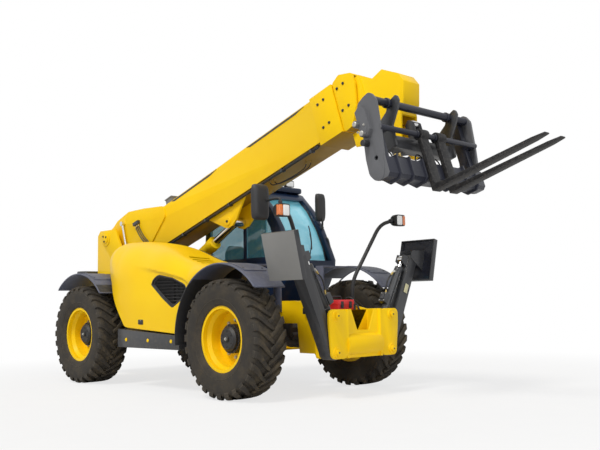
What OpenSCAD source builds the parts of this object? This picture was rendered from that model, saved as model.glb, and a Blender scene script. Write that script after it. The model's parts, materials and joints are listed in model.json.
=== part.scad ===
// Telehandler: three-section boom, engine pod on the right, cab on the left,
// front stabilisers and a floating-fork carriage.
// Millimetres. +X forward, +Y to the operator's left, +Z up.

/* [Wheels] */
// Distance between the axle centres
wheel_base = 2970; // [2900:10:3040]
// Distance between the tyre centre planes
track = 1890; // [1870:10:1930]
// Tyre diameter over the lugs
tyre_d = 1240; // [1220:10:1260]
// Tyre width over the sidewalls
tyre_w = 410; // [390:5:420]
// Diameter over the rim flanges
rim_d = 690; // [660:5:710]
// Width over the rim flanges
rim_w = 320; // [300:5:330]
// Height of the tread lugs
lug_h = 36; // [24:1:40]
// Lugs on each side of one tyre
lug_count = 28; // [24:1:32]

/* [Chassis] */
// Gap between the two side plates
frame_gap = 580; // [570:5:590]
// Thickness of the side plates
frame_t = 30; // [20:1:32]
// Height of the belly plate above the ground
belly_z = 440; // [420:5:460]
// Top edge of the side plates between the axles
deck_z = 1000; // [970:10:1020]
// Distance of the front bulkhead ahead of the front axle
nose_reach = 745; // [730:5:760]
// Distance of the rear bulkhead behind the boom pivot
tail_reach = 230; // [210:5:260]
// Thickness of the counterweight
weight_t = 230; // [180:5:240]

/* [Boom] */
// Boom pivot behind the middle of the wheelbase
boom_pivot_back = 2200; // [2180:5:2220]
// Boom pivot height above the ground
boom_pivot_z = 1940; // [1920:5:1960]
// Slope of the boom as it parks
boom_angle = 17.2; // [15:0.1:19]
// Outer section width
boom_w = 400; // [390:2:410]
// Outer section height
boom_h = 495; // [485:5:505]
// Depth of the outer section's top face below the pivot
boom_drop = 52; // [40:1:60]
// Pivot to the outer section's nose
boom_len = 4640; // [4600:10:4700]
// Wall thickness of the sections
boom_wall = 10; // [8:1:12]
// Slide-pad gap between one section and the next
pad_gap = 15; // [13:1:16]
// Radius of the boom pivot pin
boom_pin_r = 45; // [40:1:50]
// Lift cylinder pin below the outer section
lift_pin_drop = 178; // [175:1:190]
// Radius of the lift cylinder barrel
lift_r = 80; // [70:1:85]

/* [Carriage] */
// Width over the fork frame's end plates
carriage_w = 1506; // [1440:2:1540]
// Height of the fork frame
carriage_h = 840; // [820:5:860]
// Length of a fork from its back
fork_l = 1220; // [1150:10:1260]
// Width of a fork
fork_w = 120; // [100:5:130]
// Thickness of a fork at its heel
fork_t = 48; // [40:1:50]
// Distance between the fork centre lines
fork_gap = 270; // [240:5:400]

/* [Cab] */
// Cab width
cab_w = 774; // [764:2:784]
// Cab side to the middle plane
cab_in_y = 326; // [324:1:330]
// Roof height above the ground
cab_top_z = 2480; // [2440:10:2500]
// Cab floor height above the ground
cab_low_z = 790; // [780:5:800]
// Wall thickness of the cab frame
cab_wall = 45; // [40:1:50]
// Window and door opening height
sill_z = 1500; // [1470:5:1520]

/* [Engine pod] */
// Outer face of the hood from the middle plane
hood_out_y = 1055; // [1040:5:1070]
// Inner edge of the hood from the middle plane
hood_in_y = 445; // [440:1:455]
// Hood wall thickness
hood_t = 24; // [18:1:28]
// Highest point of the hood
hood_top_z = 1780; // [1760:5:1800]

/* [Stabilisers] */
// Leg pin from the middle plane
leg_pin_y = 418; // [410:2:426]
// Leg pin height
leg_pin_z = 480; // [470:2:490]
// Cylinder pin height
stab_pin_z = 842; // [836:2:850]
// Leg slope when folded
leg_angle = 65; // [63:0.5:67]
// Leg length to the foot
leg_l = 1080; // [1060:5:1100]
// Side length of the square foot
pad_side = 470; // [440:5:480]

/* [Hidden] */
$fn = 48;
half_turn = 180;
over = 5;            // overrun of every cut
play = 1;            // side play of an eye between its plates
bulge_share = 1.06;  // ball at a pipe's bend
seat = 0.3;          // gap between round faces that run in each other
run = 6;             // free gap beside moving pieces
yellow = [0.98, 0.78, 0.08];
black = [0.10, 0.10, 0.11];
dark = [0.22, 0.22, 0.24];
slate = [0.30, 0.33, 0.40];
steel = [0.75, 0.76, 0.78];
glass = [0.45, 0.75, 0.85, 0.5];
red = [0.80, 0.14, 0.08];
clear = [0.9, 0.9, 0.85];
room_share = 0.48;   // share of an edge that a rounded corner may use
flat_half = 84;      // half angle above which a corner stays sharp

axle_z = tyre_d / 2;
wheel_y = track / 2;
front_x = wheel_base / 2;
rear_x = -wheel_base / 2;
frame_y = frame_gap / 2;
frame_out = frame_y + frame_t;
pivot_x = -boom_pivot_back;
nose_x = front_x + nose_reach;
tail_x = pivot_x - tail_reach;

// Axles and wheels
king_in = 225;       // kingpin inside the tyre's centre plane
king_y = wheel_y - king_in;
king_r = 28;
knuckle_r = 62;
yoke_r = 72;
yoke_t = 45;
yoke_h = 300;
yoke_back = 140;
yoke_wall = 45;
spindle_r = 52;
hub_r = 150;
hub_gap = 82;
hub_out = 45;
cap_r = 128;
cap_out = 92;
cap_share = 0.8;
rim_t = 12;
rim_flange = 22;
rim_drop = 26;
disc_in = 30;        // disc inside the wheel's centre plane
disc_t = 22;
bead_w = 62;
carcass_t = 38;
flank_shares = [0.455, 1];   // widest point of the sidewall, over the flange and the half width
shoulder_shares = [0.875, 0.92];
shoulder_drop = 14;
crown_half = 6;
core_share = 0.80;
lug_stations = [0, 0.42, 0.5, 0.92];
lug_lag_share = 1.08; // the middle of a lug trails its shoulder by this much of a pitch
beam_half_x = 95;
beam_half_z = 92;
diff_r = 140;
diff_half = 190;
diff_share = 0.75;
axle_seat_x = 190;
axle_seat_z = 140;   // seat of the frame above the axle's centre line
notch_x = 300;
notch_slope = 30;
shaft_r = 42;
gear_half_x = 240;
gear_half_y = 230;
gear_top = 690;
steer_r = 38;
steer_half = 270;
steer_off = 150;

// Fenders
fender_r = 768;
fender_t = 10;
fender_w = 405;
fender_from = 42;
fender_right_to = 186;
fender_left_to = 122;
rear_from = 42;
rear_to = 132;
strut_x = 120;
strut_t = 20;
strut_low = 880;
strut_arm = 16;

// Chassis outlines
tower_front = 240;
tower_top = 115;
tower_chamfer = 70;
tower_knee_x = 510;
tower_knee_z = -300;
tower_foot_x = 650;
tower_foot_z = -760;
frame_rear_z = 560;
frame_front_low = 450;
frame_front_top = 900;
deck_front_back = 480;
tower_run = 1100;
belly_t = 16;
bulkhead_t = 25;
boom_boss_r = 110;
hitch_z = 640;
lift_base_x = 1900;
lift_base_z = 800;
lift_bracket_t = 28;
lift_bracket_share = 1.5;
lift_eye_w = 2 * lift_r;
lift_eye_r = 78;
lift_pin_r = 34;

// Boom sections, in boom axes from the pivot
boom_top = -boom_drop;
boom_low = -boom_drop - boom_h;
boom_tail = 130;
ear_t = 20;
ear_l = 1500;
ear_back = 150;
ear_up = 204;
ear_h = ear_up - boom_low;
ear_shares = [[0.013, 0.395], [0, 0.728], [0.033, 0.875], [0.165, 0.925], [0.237, 0.979],
    [0.449, 1], [0.70, 0.86], [1, 0.659], [1, 0.462], [0.567, 0], [0.2, 0]];
ear_round = 60;
hump_t = 12;
hump_l = 1240;
hub_tube_r = 84;
collar_l = 340;
collar_t = 16;
collar_low = 48;
slide_l = 160;
lug_plate_gap = 220;
lug_plate_t = 25;
lug_from = 2100;
lug_l = 780;
lug_depth = 262;
lug_shares = [[0, 1], [0.40, 0.08], [0.475, 0], [0.56, 0.01], [0.68, 0.18], [0.85, 0.62], [1, 1]];
lug_round = 30;
lift_pin_u = 2475;
lift_pin_w = boom_low - lift_pin_drop;
lift_rod_r = 46;
lift_end_r = 55;
lift_back = 380;      // rod drawn back from the barrel's base
lift_share = 0.80;    // barrel's share of the closed length
mid_w = boom_w - 2 * (boom_wall + pad_gap);
mid_h = boom_h - 2 * (boom_wall + pad_gap);
mid_tail = 420;
mid_nose = 300;
mid_gap = 10;
mid_tube_share = 0.8;
head_gap = 22;
in_w = mid_w - 2 * (boom_wall + pad_gap);
in_h = mid_h - 2 * (boom_wall + pad_gap);
in_tail = 700;
in_nose = 470;
boom_mid = (boom_top + boom_low) / 2;
nose_shares = [[0, 0.075], [0.38, 0], [0.98, 0.11], [1, 0.30], [0.80, 0.69], [0.42, 0.97], [0, 1]];
mid_nose_up = 12;
mid_nose_h = 626;
nose_round = 35;
tray_w = 170;
tray_h = 46;
tray_t = 8;
tray_foot = 26;
tray_from_shares = [0.319, 0.66];
tray_to_shares = [0.565, 0.983];
tray_from = tray_from_shares * boom_len;
tray_to = tray_to_shares * boom_len;
tray_foot_l = 60;
block_u = 1330;
block_l = 130;
block_w = 150;
block_h = 110;

// Head of the inner section and tilt linkage, in boom axes
head_w = 250;
head_t = 20;
tilt_out = 558;
tilt_u = boom_len + tilt_out;
tilt_w = -1064;
tilt_pin_r = 30;
tilt_boss_r = 76;
head_top_w = -190;
head_front_out = 835;
head_front_u = boom_len + head_front_out;
head_low_w = -740;
head_back_u = boom_len + mid_nose + head_gap;
head_toe_out = 50;
head_toe_u = boom_len + head_toe_out;
head_toe_top = 645;
head_toe_low = 790;
head_side_back = 80;
head_boss_shares = [0.6, 0.9];
head_corner_shares = [[0.30, 0.05], [0.58, 0], [0.92, 0.26], [1, 0.45], [0.86, 0.82], [0.745, 0.91],
    [0.735, 1]];
tilt_base_out = 130;
tilt_base_u = boom_len + tilt_base_out;
tilt_base_w = -700;
lever_out = 710;
lever_u = boom_len + lever_out;
lever_w = -850;
tilt_cyl_r = 44;
tilt_rod_r = 24;
tilt_eye_r = 42;
tilt_eye_w = 76;
tilt_cyl_l = 400;
tilt_back = 60;       // rod drawn back from the barrel's base
lever_t = 22;
lever_gap = 84;
lever_r = 50;
coupler_t = 28;
coupler_eye_gap = 4;
beam_out = 660;
beam_u = boom_len + beam_out;
beam_low = -1180;
beam_top = -1050;
beam_d = 100;
hook_y = 460;
hook_t = 30;
hook_shares = [[0, 0], [0.44, 0], [0.50, 0.42], [0.86, 0.66], [1, 0.80], [0.97, 0.93], [0.55, 0.86],
    [0.42, 0.72], [0.10, 0.62]];
hook_l = 290;
hook_h = 500;

// Fork frame, in boom axes
plate_t = 30;
plate_out = 605;
plate_u = boom_len + plate_out;
plate_d = 300;
plate_top_w = -695;
plate_shares = [[0.85, 1], [0.56, 0.98], [0.24, 0.94], [0.15, 0.71], [0.17, 0.57], [0.04, 0.30], [0.02, 0.12],
    [0.20, 0.01], [0.52, 0.01], [0.66, 0.13], [0.86, 0.52], [1, 0.88]];
plate_round = 80;
plate_hole_r = 22;
plate_hole_shares = [0.44, 0.26];
bracket_shares = [[0.20, 0.56], [0.20, 0.84], [0.46, 0.90], [0.60, 0.80], [0.60, 0.58], [0.44, 0.52]];
bracket_t = 44;
bracket_pin_r = 34;
bracket_pin_out = 26;
bracket_pin_shares = [[0.17, 0.70], [0.34, 0.56]];
bar_r = 38;
bar_out = 840;
bar_u = boom_len + bar_out;
bar_w = -768;
fork_bar_r = 27;
fork_bar_out = 860;
fork_bar_u = boom_len + fork_bar_out;
fork_bar_w = -1059;
fork_eye_r = 56;
fork_back = 22;
box_back_out = 650;
box_back = boom_len + box_back_out;
box_low = -1530;
box_h = 190;
box_lip = 60;
box_rib_t = 18;
box_rib_out = 22;
box_rib_shares = [0.30, 0.56, 0.80];
post_y = 640;
post_w = 70;
post_d = 110;
post_back_out = 690;
post_back = boom_len + post_back_out;
fork_low = -1640;
fork_tip_t = 14;
fork_heel_shares = [[3, 1], [1.25, 1.3], [1, 2]];
fork_tip_w_share = 0.62;
fork_tip_l_share = 0.10;

// Compensation cylinder beside the boom
comp_y = 252;
comp_base_x = 1580;
comp_base_z = 1200;
comp_u = 370;
comp_w = 84;
comp_r = 26;
comp_rod_r = 16;
comp_eye_r = 32;
comp_eye_w = 44;
comp_l = 560;
comp_back = 130;      // rod drawn back from the barrel's base
comp_lug_h = 120;

// Stabilisers
leg_reach = 125;
leg_x = nose_x + leg_reach;
leg_w = 150;
leg_d = 150;
leg_foot_d = 120;
leg_wall = 12;
leg_pin_r = 30;
stab_pin_r = 24;
leg_neck_share = 0.8;
ear_boss_r = 56;
leg_eye_r = 78;
ear_plate_t = 26;
ear_plate_gap = 6;
pad_t = 26;
pad_off = 150;
pad_tilt = 13;
pad_neck = 60;
pad_lip = 36;
pad_lip_t = 12;
stab_eye_share = 0.93;
stab_off = 105;
stab_r = 42;
stab_rod_r = 24;
stab_eye_r = 40;
stab_eye_w = 60;
stab_share = 0.826;    // barrel's share of the closed length
stab_lug_t = 18;
neck_share = 0.7;      // start of a barrel, over its eye radius
gland_share = 0.3;
gland_r_share = 1.08;
nose_rib_y = 262;
nose_rib_t = 24;
nose_top = 905;
nose_low = 415;
nose_out = 525;
nose_low_out = 490;
notch_low = 690;
notch_half_low = 90;
notch_half_top = 240;
nose_face_t = 20;
face_notch_half = 178;
bulge_r = 128;
bulge_in = 74;
bulge_z = 548;
plate_ear_round = 56;

// Engine pod
hood_rear_out = 85;
hood_rear_x = rear_x + hood_rear_out;
arch_gap = 12;
arch_r = fender_r + fender_t + arch_gap;
tip_angle = 108.4;
tip_t = 20;
tip_share = 0.955;
core_angle = 124;
hood_tip = [front_x + arch_r * cos(tip_angle), axle_z + arch_r * sin(tip_angle)];
hood_l = (hood_tip[0] - hood_rear_x) / tip_share;
hood_low_z = 650;
hood_h = hood_top_z - hood_low_z;
hood_top_shares = [[0.02, 0.86], [0.055, 0.93], [0.13, 1], [0.33, 0.985], [0.55, 0.89], [0.76, 0.71]];
hood_rear_shares = [[0.315, 0.07], [0.182, 0.45], [0.165, 0.56], [0.0, 0.80]];
arch_steps = 6;
hinge_l = 60;
hinge_r = 10;
edge_share = 1.5;
hood_crown_shares = [[0, 0], [0, 0.58], [0.06, 0.75], [0.20, 0.90], [0.42, 0.975], [0.70, 1], [1, 1], [1, 0]];
hood_plan_shares = [[0, 1], [0, 0.62], [0.10, 0.30], [0.22, 0.06], [0.34, 0], [0.80, 0], [0.93, 0.03],
    [1, 0.14],
    [1, 1]];
grille_shares = [[0.575, 0.53], [0.62, 0.60], [0.795, 0.515], [0.815, 0.46], [0.81, 0.40], [0.72, 0.26]];
grille_bar_t = 10;
grille_bars = 9;
louvre_l = 190;
louvre_h = 26;
louvre_step = 46;
louvre_x = 640;
louvre_z = 1420;
bay_t = 14;
bay_in_gap = 12;
engine_l = 930;
engine_w = 430;
engine_h = 620;
engine_x = -500;
engine_z = 760;
sill_from = -630;
sill_to = 655;
sill_low = 480;
sill_high = 635;
sill_rear_high = 700;

// Cab
cab_rear_gap = 765;
cab_front_gap = 480;
cab_rear_x = rear_x + cab_rear_gap;
cab_l = wheel_base - cab_rear_gap - cab_front_gap;
cab_shares = [[0, 0], [0.80, 0], [0.855, 0.13], [0.935, 0.26], [0.985, 0.36], [0.995, 0.44], [0.955, 0.535],
    [0.885, 0.69], [0.79, 0.84], [0.655, 0.985], [0.62, 1], [0.08, 1], [0.04, 0.97], [0, 0.42]];
roof_t = 70;
roof_over = 25;
roof_front_share = 0.665;
pillar = 60;
glass_t = 8;
right_slope_share = 0.09;
right_lean_share = 0.12;
right_bend_share = 0.70;
rear_lean_share = 0.036;
dash_lift = 120;
spoke_share = 0.7;
spokes = 3;
boss_share = 1.3;
mirror_root_share = [0.885, 0.69];
mirror_root_out = [0.9, 0.5];
roof_lamp_share = 0.56;
lamp_small_share = 0.7;
box_lift = 300;
screen_shares = [[0.93, 0.43], [0.905, 0.535], [0.835, 0.69], [0.745, 0.835], [0.655, 0.93]];
door_gap = 8;
door_t = 40;
door_from_share = 0.20;
door_shares = [[0.20, 0.035], [0.785, 0.035], [0.84, 0.16], [0.915, 0.285], [0.955, 0.37], [0.955, 0.44],
    [0.91, 0.54], [0.84, 0.69], [0.745, 0.83], [0.665, 0.925], [0.20, 0.925]];
door_rail = 62;
door_split_share = 0.47;
right_from_share = 0.06;
right_mid_share = 0.50;
right_to_share = 0.80;
rear_low_share = 0.45;
rear_high_share = 0.90;
seat_share = 0.272;
seat_x = cab_rear_x + seat_share * cab_l;
seat_l = 480;
seat_w = 500;
cushion_h = 130;
seat_z = 1190;
back_h = 620;
back_t = 130;
back_lean = 10;
back_in = 20;
base_in = 60;
dash_share = 0.70;
dash_x = cab_rear_x + dash_share * cab_l;
dash_l = 190;
dash_h = 560;
dash_w = 520;
wheel_ring_r = 190;
wheel_grip_r = 15;
column_r = 32;
column_l = 330;
column_lean = 32;
tank_from = -600;
tank_to = 600;
tank_in = 400;
tank_out = 1075;
tank_low = 430;
tank_high = 770;
step_d = 190;
step_h = 110;
step_l = 520;
step_rise_share = 1.4;
step_top_share = 1.5;

// Lamps, mirrors and boxes
post_r = 21;
post_foot_y = 345;
post_foot_back = 270;
post_foot_low = 880;
post_knee_y = 690;
post_knee_back = 130;
post_knee_z = 1840;
lamp_y = 895;
lamp_back = 50;
lamp_z = 1892;
lamp_w = 150;
lamp_h = 130;
lamp_d = 120;
lens_t = 18;
lens_in = 12;
mirror_w = 210;
mirror_h = 360;
mirror_t = 60;
mirror_y = 985;
mirror_back = 240;
mirror_z = 1990;
cab_mirror_x = 800;
cab_mirror_y = 1050;
cab_mirror_z = 2190;
cab_mirror_w = 150;
mirror_arm_r = 13;
box_l = 330;
box_w = 230;
box_tall = 190;
lid_h = 46;
lid_over = 5;
lid_slot = 26;
box_z = 770;
hitch_l = 110;
hitch_w = 120;
hitch_h = 150;
hitch_slot = 60;
hitch_bore = 16;
weight_low = 700;
weight_h = 780;
weight_half = 560;
weight_round = 90;

// The part's origin is the middle of its box, on the ground
rear_end = tail_x - weight_t - hitch_l;
tip_u = fork_bar_u - fork_back + fork_l;
front_end = pivot_x + tip_u * cos(boom_angle) - fork_low * sin(boom_angle);
home_x = -(rear_end + front_end) / 2;

function spread(shares, from, size) = [for (s = shares) [from[0] + s[0] * size[0], from[1] + s[1] * size[1]]];
function unit(v) = v / norm(v);
function turn_arc(a, b, c, r, n) =
    let (u = unit(a - b), v = unit(c - b), half = acos(max(-1, min(1, u * v))) / 2)
    half > flat_half ? [b] :
    let (room = min(norm(a - b), norm(c - b)) * room_share, t = min(r / tan(half), room), q = t * tan(half),
         m = b + unit(u + v) * q / sin(half),
         s = b + u * t - m, e = b + v * t - m,
         f = atan2(s[1], s[0]), g = atan2(e[1], e[0]), w = g - f,
         d = w > half_turn ? w - 2 * half_turn : w < -half_turn ? w + 2 * half_turn : w)
    [for (k = [0 : n]) m + q * [cos(f + d * k / n), sin(f + d * k / n)]];
function soft(p, r, n = 4) = [for (i = [0 : len(p) - 1])
    each turn_arc(p[(i + len(p) - 1) % len(p)], p[i], p[(i + 1) % len(p)], r, n)];
function left_of(a, b) = let (d = unit(b - a)) [-d[1], d[0]];
function area2(p) = let (n = len(p)) [for (i = 0, s = 0; i <= n; s = s + (i < n ? p[i][0] * p[(i + 1) % n][1]
    - p[(i + 1) % n][0] * p[i][1] : 0), i = i + 1) s][n];
function inset(p, d) = let (n = len(p), g = area2(p) > 0 ? 1 : -1) [for (i = [0 : n - 1])
    let (a = left_of(p[(i + n - 1) % n], p[i]) * g, b = left_of(p[i], p[(i + 1) % n]) * g)
    p[i] + (a + b) * d / (1 + a * b)];
function turned(p, a) = [p[0] * cos(a) - p[1] * sin(a), p[0] * sin(a) + p[1] * cos(a)];

module home() translate([home_x, 0, 0]) children();
module in_boom() home() translate([pivot_x, 0, boom_pivot_z]) rotate([0, -boom_angle, 0]) children();
module across(y0, y1) translate([0, y1, 0]) rotate([90, 0, 0]) linear_extrude(y1 - y0) children();
module ahead(x0, x1) translate([x0, 0, 0]) rotate([90, 0, 90]) linear_extrude(x1 - x0) children();
module both() for (s = [0, 1]) mirror([0, s, 0]) children();
module block(p, q) translate(p) cube(q - p);
module pin_y(p, r, y0, y1) translate([p[0], y1, p[1]]) rotate([90, 0, 0]) cylinder(r = r, h = y1 - y0);
module pin_x(p, r, x0, x1) translate([x0, p[0], p[1]]) rotate([0, 90, 0]) cylinder(r = r, h = x1 - x0);
module rod(a, b, r) translate(a) rotate([0, acos((b - a)[2] / norm(b - a)), atan2((b - a)[1], (b - a)[0])])
    cylinder(r = r, h = norm(b - a));
module pipe(p, r) {
    for (i = [0 : len(p) - 2]) rod(p[i], p[i + 1], r);
    for (i = [1 : len(p) - 2]) translate(p[i]) sphere(r = r * bulge_share);
}
module sheet(p, t, y0, y1) across(y0, y1) difference() { polygon(p); polygon(inset(p, t)); }

// Chassis

frame_side = [[tail_x, frame_rear_z], [tail_x, boom_pivot_z + tower_top - tower_chamfer],
    [tail_x + tower_chamfer, boom_pivot_z + tower_top], [pivot_x + tower_front, boom_pivot_z + tower_top],
    [pivot_x + tower_knee_x, boom_pivot_z + tower_knee_z],
    [pivot_x + tower_foot_x, boom_pivot_z + tower_foot_z],
    [pivot_x + tower_run, deck_z], [nose_x - deck_front_back, deck_z], [nose_x, frame_front_top],
    [nose_x, frame_front_low], [front_x + notch_x + notch_slope, frame_front_low],
    [front_x + notch_x, axle_z + axle_seat_z], [front_x - notch_x, axle_z + axle_seat_z],
    [front_x - notch_x - notch_slope, belly_z], [rear_x + notch_x + notch_slope, belly_z],
    [rear_x + notch_x, axle_z + axle_seat_z], [rear_x - notch_x, axle_z + axle_seat_z],
    [rear_x - notch_x - notch_slope, frame_rear_z]];
lift_base = [-lift_base_x, lift_base_z];
comp_base = [-comp_base_x, comp_base_z];

module main_frame() color(yellow) home() {
    both() difference() {
        across(frame_y, frame_out) polygon(frame_side);
        pin_y([pivot_x, boom_pivot_z], boom_pin_r, frame_y - over, frame_out + over);
    }
    pin_y([pivot_x, boom_pivot_z], boom_pin_r, -frame_out - hump_t, frame_out + hump_t);
    both() pin_y([pivot_x, boom_pivot_z], boom_boss_r, frame_out - over, frame_out + hump_t);
    block([rear_x + notch_x + notch_slope, -frame_y - over, belly_z],
        [front_x - notch_x - notch_slope, frame_y + over, belly_z + belly_t]);
    block([tail_x, -frame_y - over, frame_rear_z],
        [tail_x + bulkhead_t, frame_y + over, boom_pivot_z - lift_base_z / 2]);
    block([tail_x, -frame_y - over, frame_rear_z],
        [rear_x - notch_x - notch_slope, frame_y + over, frame_rear_z + bulkhead_t]);
    block([nose_x - bulkhead_t, -frame_y - over, frame_front_low], [nose_x, frame_y + over, notch_low]);
    block([front_x + notch_x + notch_slope, -frame_y - over, frame_front_low],
        [nose_x, frame_y + over, frame_front_low + belly_t]);
    both() across(lift_eye_w / 2 + run, lift_eye_w / 2 + run + lift_bracket_t) polygon([
        [lift_base[0] - lift_eye_r * lift_bracket_share, frame_rear_z],
        [lift_base[0] - lift_eye_r, lift_base_z + lift_eye_r],
        [lift_base[0] + lift_eye_r / 2, lift_base_z + lift_eye_r],
        [lift_base[0] + lift_eye_r, frame_rear_z]]);
    pin_y(lift_base, lift_pin_r, -lift_eye_w / 2 - run - lift_bracket_t - hump_t,
        lift_eye_w / 2 + run + lift_bracket_t + hump_t);
    both() across(comp_y + comp_r + seat, frame_y + over)
        polygon([comp_base + [-comp_eye_r, comp_eye_r], comp_base + [comp_eye_r, comp_eye_r],
            comp_base + [comp_eye_r, -comp_lug_h], comp_base + [-comp_eye_r, -comp_lug_h]]);
    both() pin_y(comp_base, comp_rod_r, comp_y - comp_eye_w / 2, frame_y + over);
    block([nose_x - box_l, -box_w / 2, frame_front_low],
        [nose_x - bulkhead_t - run, box_w / 2, frame_front_low + belly_t + box_lift]);
    for (x = [tank_from + step_h, tank_to - step_h * 2])
        block([x, frame_out - over, tank_high], [x + step_h, cab_out_y - step_d, cab_low_z]);
}

module counterweight() color(black) home() difference() {
    translate([0, 0, weight_low]) linear_extrude(weight_h) polygon(soft([[tail_x, -weight_half],
        [tail_x, weight_half],
        [tail_x - weight_t, weight_half], [tail_x - weight_t, -weight_half]], weight_round, 6));
    block([tail_x - weight_t - over, -hitch_w / 2 - run, weight_low - over],
        [tail_x - weight_t / 2, hitch_w / 2 + run, weight_low + hitch_h / 2]);
}

module tow_hitch() color(dark) home() difference() {
    union() {
        block([tail_x - weight_t, -hitch_w / 2, hitch_z - hitch_h / 2],
            [tail_x, hitch_w / 2, weight_low]);
        block([tail_x - weight_t - hitch_l, -hitch_w / 2, hitch_z - hitch_h / 2],
            [tail_x - weight_t, hitch_w / 2, hitch_z + hitch_h / 2]);
    }
    block([tail_x - weight_t - hitch_l - over, -hitch_w / 2 - over, hitch_z - hitch_slot / 2],
        [tail_x - weight_t - hitch_l / 4, hitch_w / 2 + over, hitch_z + hitch_slot / 2]);
    translate([tail_x - weight_t - hitch_l * 2 / 3, 0, hitch_z - hitch_h])
        cylinder(r = hitch_bore, h = hitch_h * 2);
}

module axle_at(x, d) translate([x, 0, axle_z]) {
    block([-beam_half_x, -king_y + yoke_back - yoke_wall, -beam_half_z],
        [beam_half_x, king_y - yoke_back + yoke_wall, beam_half_z]);
    pin_x([0, 0], diff_r, -diff_half * diff_share, diff_half * diff_share);
    pin_x([0, 0], shaft_r * 2, d > 0 ? 0 : -diff_half, d > 0 ? diff_half : 0);
    both() {
        block([-axle_seat_x, frame_y, 0], [axle_seat_x, frame_out, axle_seat_z]);
        block([-yoke_r, king_y - yoke_back, -yoke_h / 2],
            [yoke_r, king_y - yoke_back + yoke_wall, yoke_h / 2]);
        for (s = [0, 1]) mirror([0, 0, s]) difference() {
            translate([0, 0, yoke_h / 2 - yoke_t]) union() {
                block([-yoke_r, king_y - yoke_back, 0], [yoke_r, king_y, yoke_t]);
                translate([0, king_y, 0]) cylinder(r = yoke_r, h = yoke_t);
            }
            translate([0, king_y, 0]) cylinder(r = king_r + seat, h = yoke_h);
        }
        rod([-d * steer_off, 0, 0], [-d * steer_off, steer_half, 0], steer_r);
    }
    both() block([min(0, -d * steer_off), steer_half / 2, -steer_r],
        [max(0, -d * steer_off), steer_half / 2 + steer_r, steer_r]);
}
module front_axle() color(dark) home() axle_at(front_x, -1);
module rear_axle() color(dark) home() axle_at(rear_x, 1);

module drive_line() color(dark) home() {
    block([-gear_half_x, -gear_half_y, belly_z + belly_t], [gear_half_x, gear_half_y, gear_top]);
    pin_x([0, axle_z], shaft_r, rear_x + diff_half, front_x - diff_half);
}

module knuckle(x, s) color(dark) home() translate([x, 0, axle_z]) scale_y(s) {
    translate([0, king_y, -yoke_h / 2 + yoke_t + play]) cylinder(r = knuckle_r,
        h = yoke_h - 2 * (yoke_t + play));
    translate([0, king_y, -yoke_h / 2]) cylinder(r = king_r, h = yoke_h);
    pin_y([0, 0], spindle_r, king_y, wheel_y);
}
module scale_y(s) { if (s > 0) children(); else mirror([0, 1, 0]) children(); }
module knuckle_front_left() knuckle(front_x, 1);
module knuckle_front_right() knuckle(front_x, -1);
module knuckle_rear_left() knuckle(rear_x, 1);
module knuckle_rear_right() knuckle(rear_x, -1);

// Wheels: outline points are radius and distance outward from the centre plane

seat_r = rim_d / 2 - rim_flange;
rim_side = [[rim_d / 2, rim_w / 2], [rim_d / 2, rim_w / 2 - rim_t], [seat_r, rim_w / 2 - rim_t],
    [seat_r, rim_w / 2 - bead_w],
    [seat_r - rim_drop, rim_w / 2 - bead_w - rim_drop], [seat_r - rim_drop, -rim_w / 2 + bead_w + rim_drop],
    [seat_r, -rim_w / 2 + bead_w], [seat_r, -rim_w / 2 + rim_t], [rim_d / 2, -rim_w / 2 + rim_t],
    [rim_d / 2, -rim_w / 2], [seat_r - rim_t, -rim_w / 2], [seat_r - rim_t, -rim_w / 2 + bead_w - rim_t],
    [seat_r - rim_drop - rim_t, -rim_w / 2 + bead_w + rim_drop],
    [seat_r - rim_drop - rim_t, -disc_in - disc_t], [hub_r, -disc_in - disc_t], [hub_r, -king_in + hub_gap],
    [spindle_r + seat, -king_in + hub_gap], [spindle_r + seat, seat], [0, seat], [0, cap_out],
    [cap_r * cap_share, cap_out],
    [cap_r, cap_out - rim_flange], [cap_r, hub_out], [hub_r, hub_out], [hub_r, -disc_in],
    [seat_r - rim_drop - rim_t, -disc_in], [seat_r - rim_drop - rim_t, rim_w / 2 - bead_w - rim_drop],
    [seat_r - rim_t, rim_w / 2 - bead_w + rim_t], [seat_r - rim_t, rim_w / 2]];
tread_r = tyre_d / 2;
lug_pitch = 2 * half_turn / lug_count;
station_n = len(lug_stations);
bead_r = (seat_r + seat) / cos(lug_pitch / 2);
bead_y = rim_w / 2 - rim_t - seat;
flank_r = rim_d / 2 + flank_shares[0] * (tread_r - rim_d / 2);
core_r = rim_d / 2 + core_share * (tread_r - lug_h - carcass_t - rim_d / 2);
// One ring of plain points, and one that steps between lug tops and grooves
function ring(r, y) = [for (k = [0 : lug_count - 1]) [r * cos(k * lug_pitch), r * sin(k * lug_pitch), y]];
function lug_ring(high, low, y_high, y_low, lag, side) = [for (k = [0 : lug_count - 1],
    j = [0 : station_n - 1])
    let (a = (k + lug_stations[j] + lag) * lug_pitch, top = (j < station_n / 2) == (side > 0),
        r = top ? high : low)
    [r * cos(a), r * sin(a), side * (top ? y_high : y_low)]];
function tyre_half(s) = [ring(bead_r, s * bead_y), ring(rim_d / 2 + rim_t, s * bead_y),
    ring(flank_r, s * flank_shares[1] * tyre_w / 2),
    lug_ring(tread_r - shoulder_drop, tread_r - lug_h - shoulder_drop, shoulder_shares[0] * tyre_w / 2,
        shoulder_shares[1] * tyre_w / 2, 0, s),
    lug_ring(tread_r, tread_r - lug_h, crown_half, crown_half, lug_lag_share, s)];
function backward(p) = [for (i = [len(p) - 1 : -1 : 0]) p[i]];
tyre_rings = concat(tyre_half(1), backward(tyre_half(-1)), [ring(bead_r, bead_w - rim_w / 2),
    ring(core_r, carcass_t * 2 - tyre_w / 2), ring(core_r, tyre_w / 2 - carcass_t * 2),
    ring(bead_r, rim_w / 2 - bead_w)]);
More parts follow.
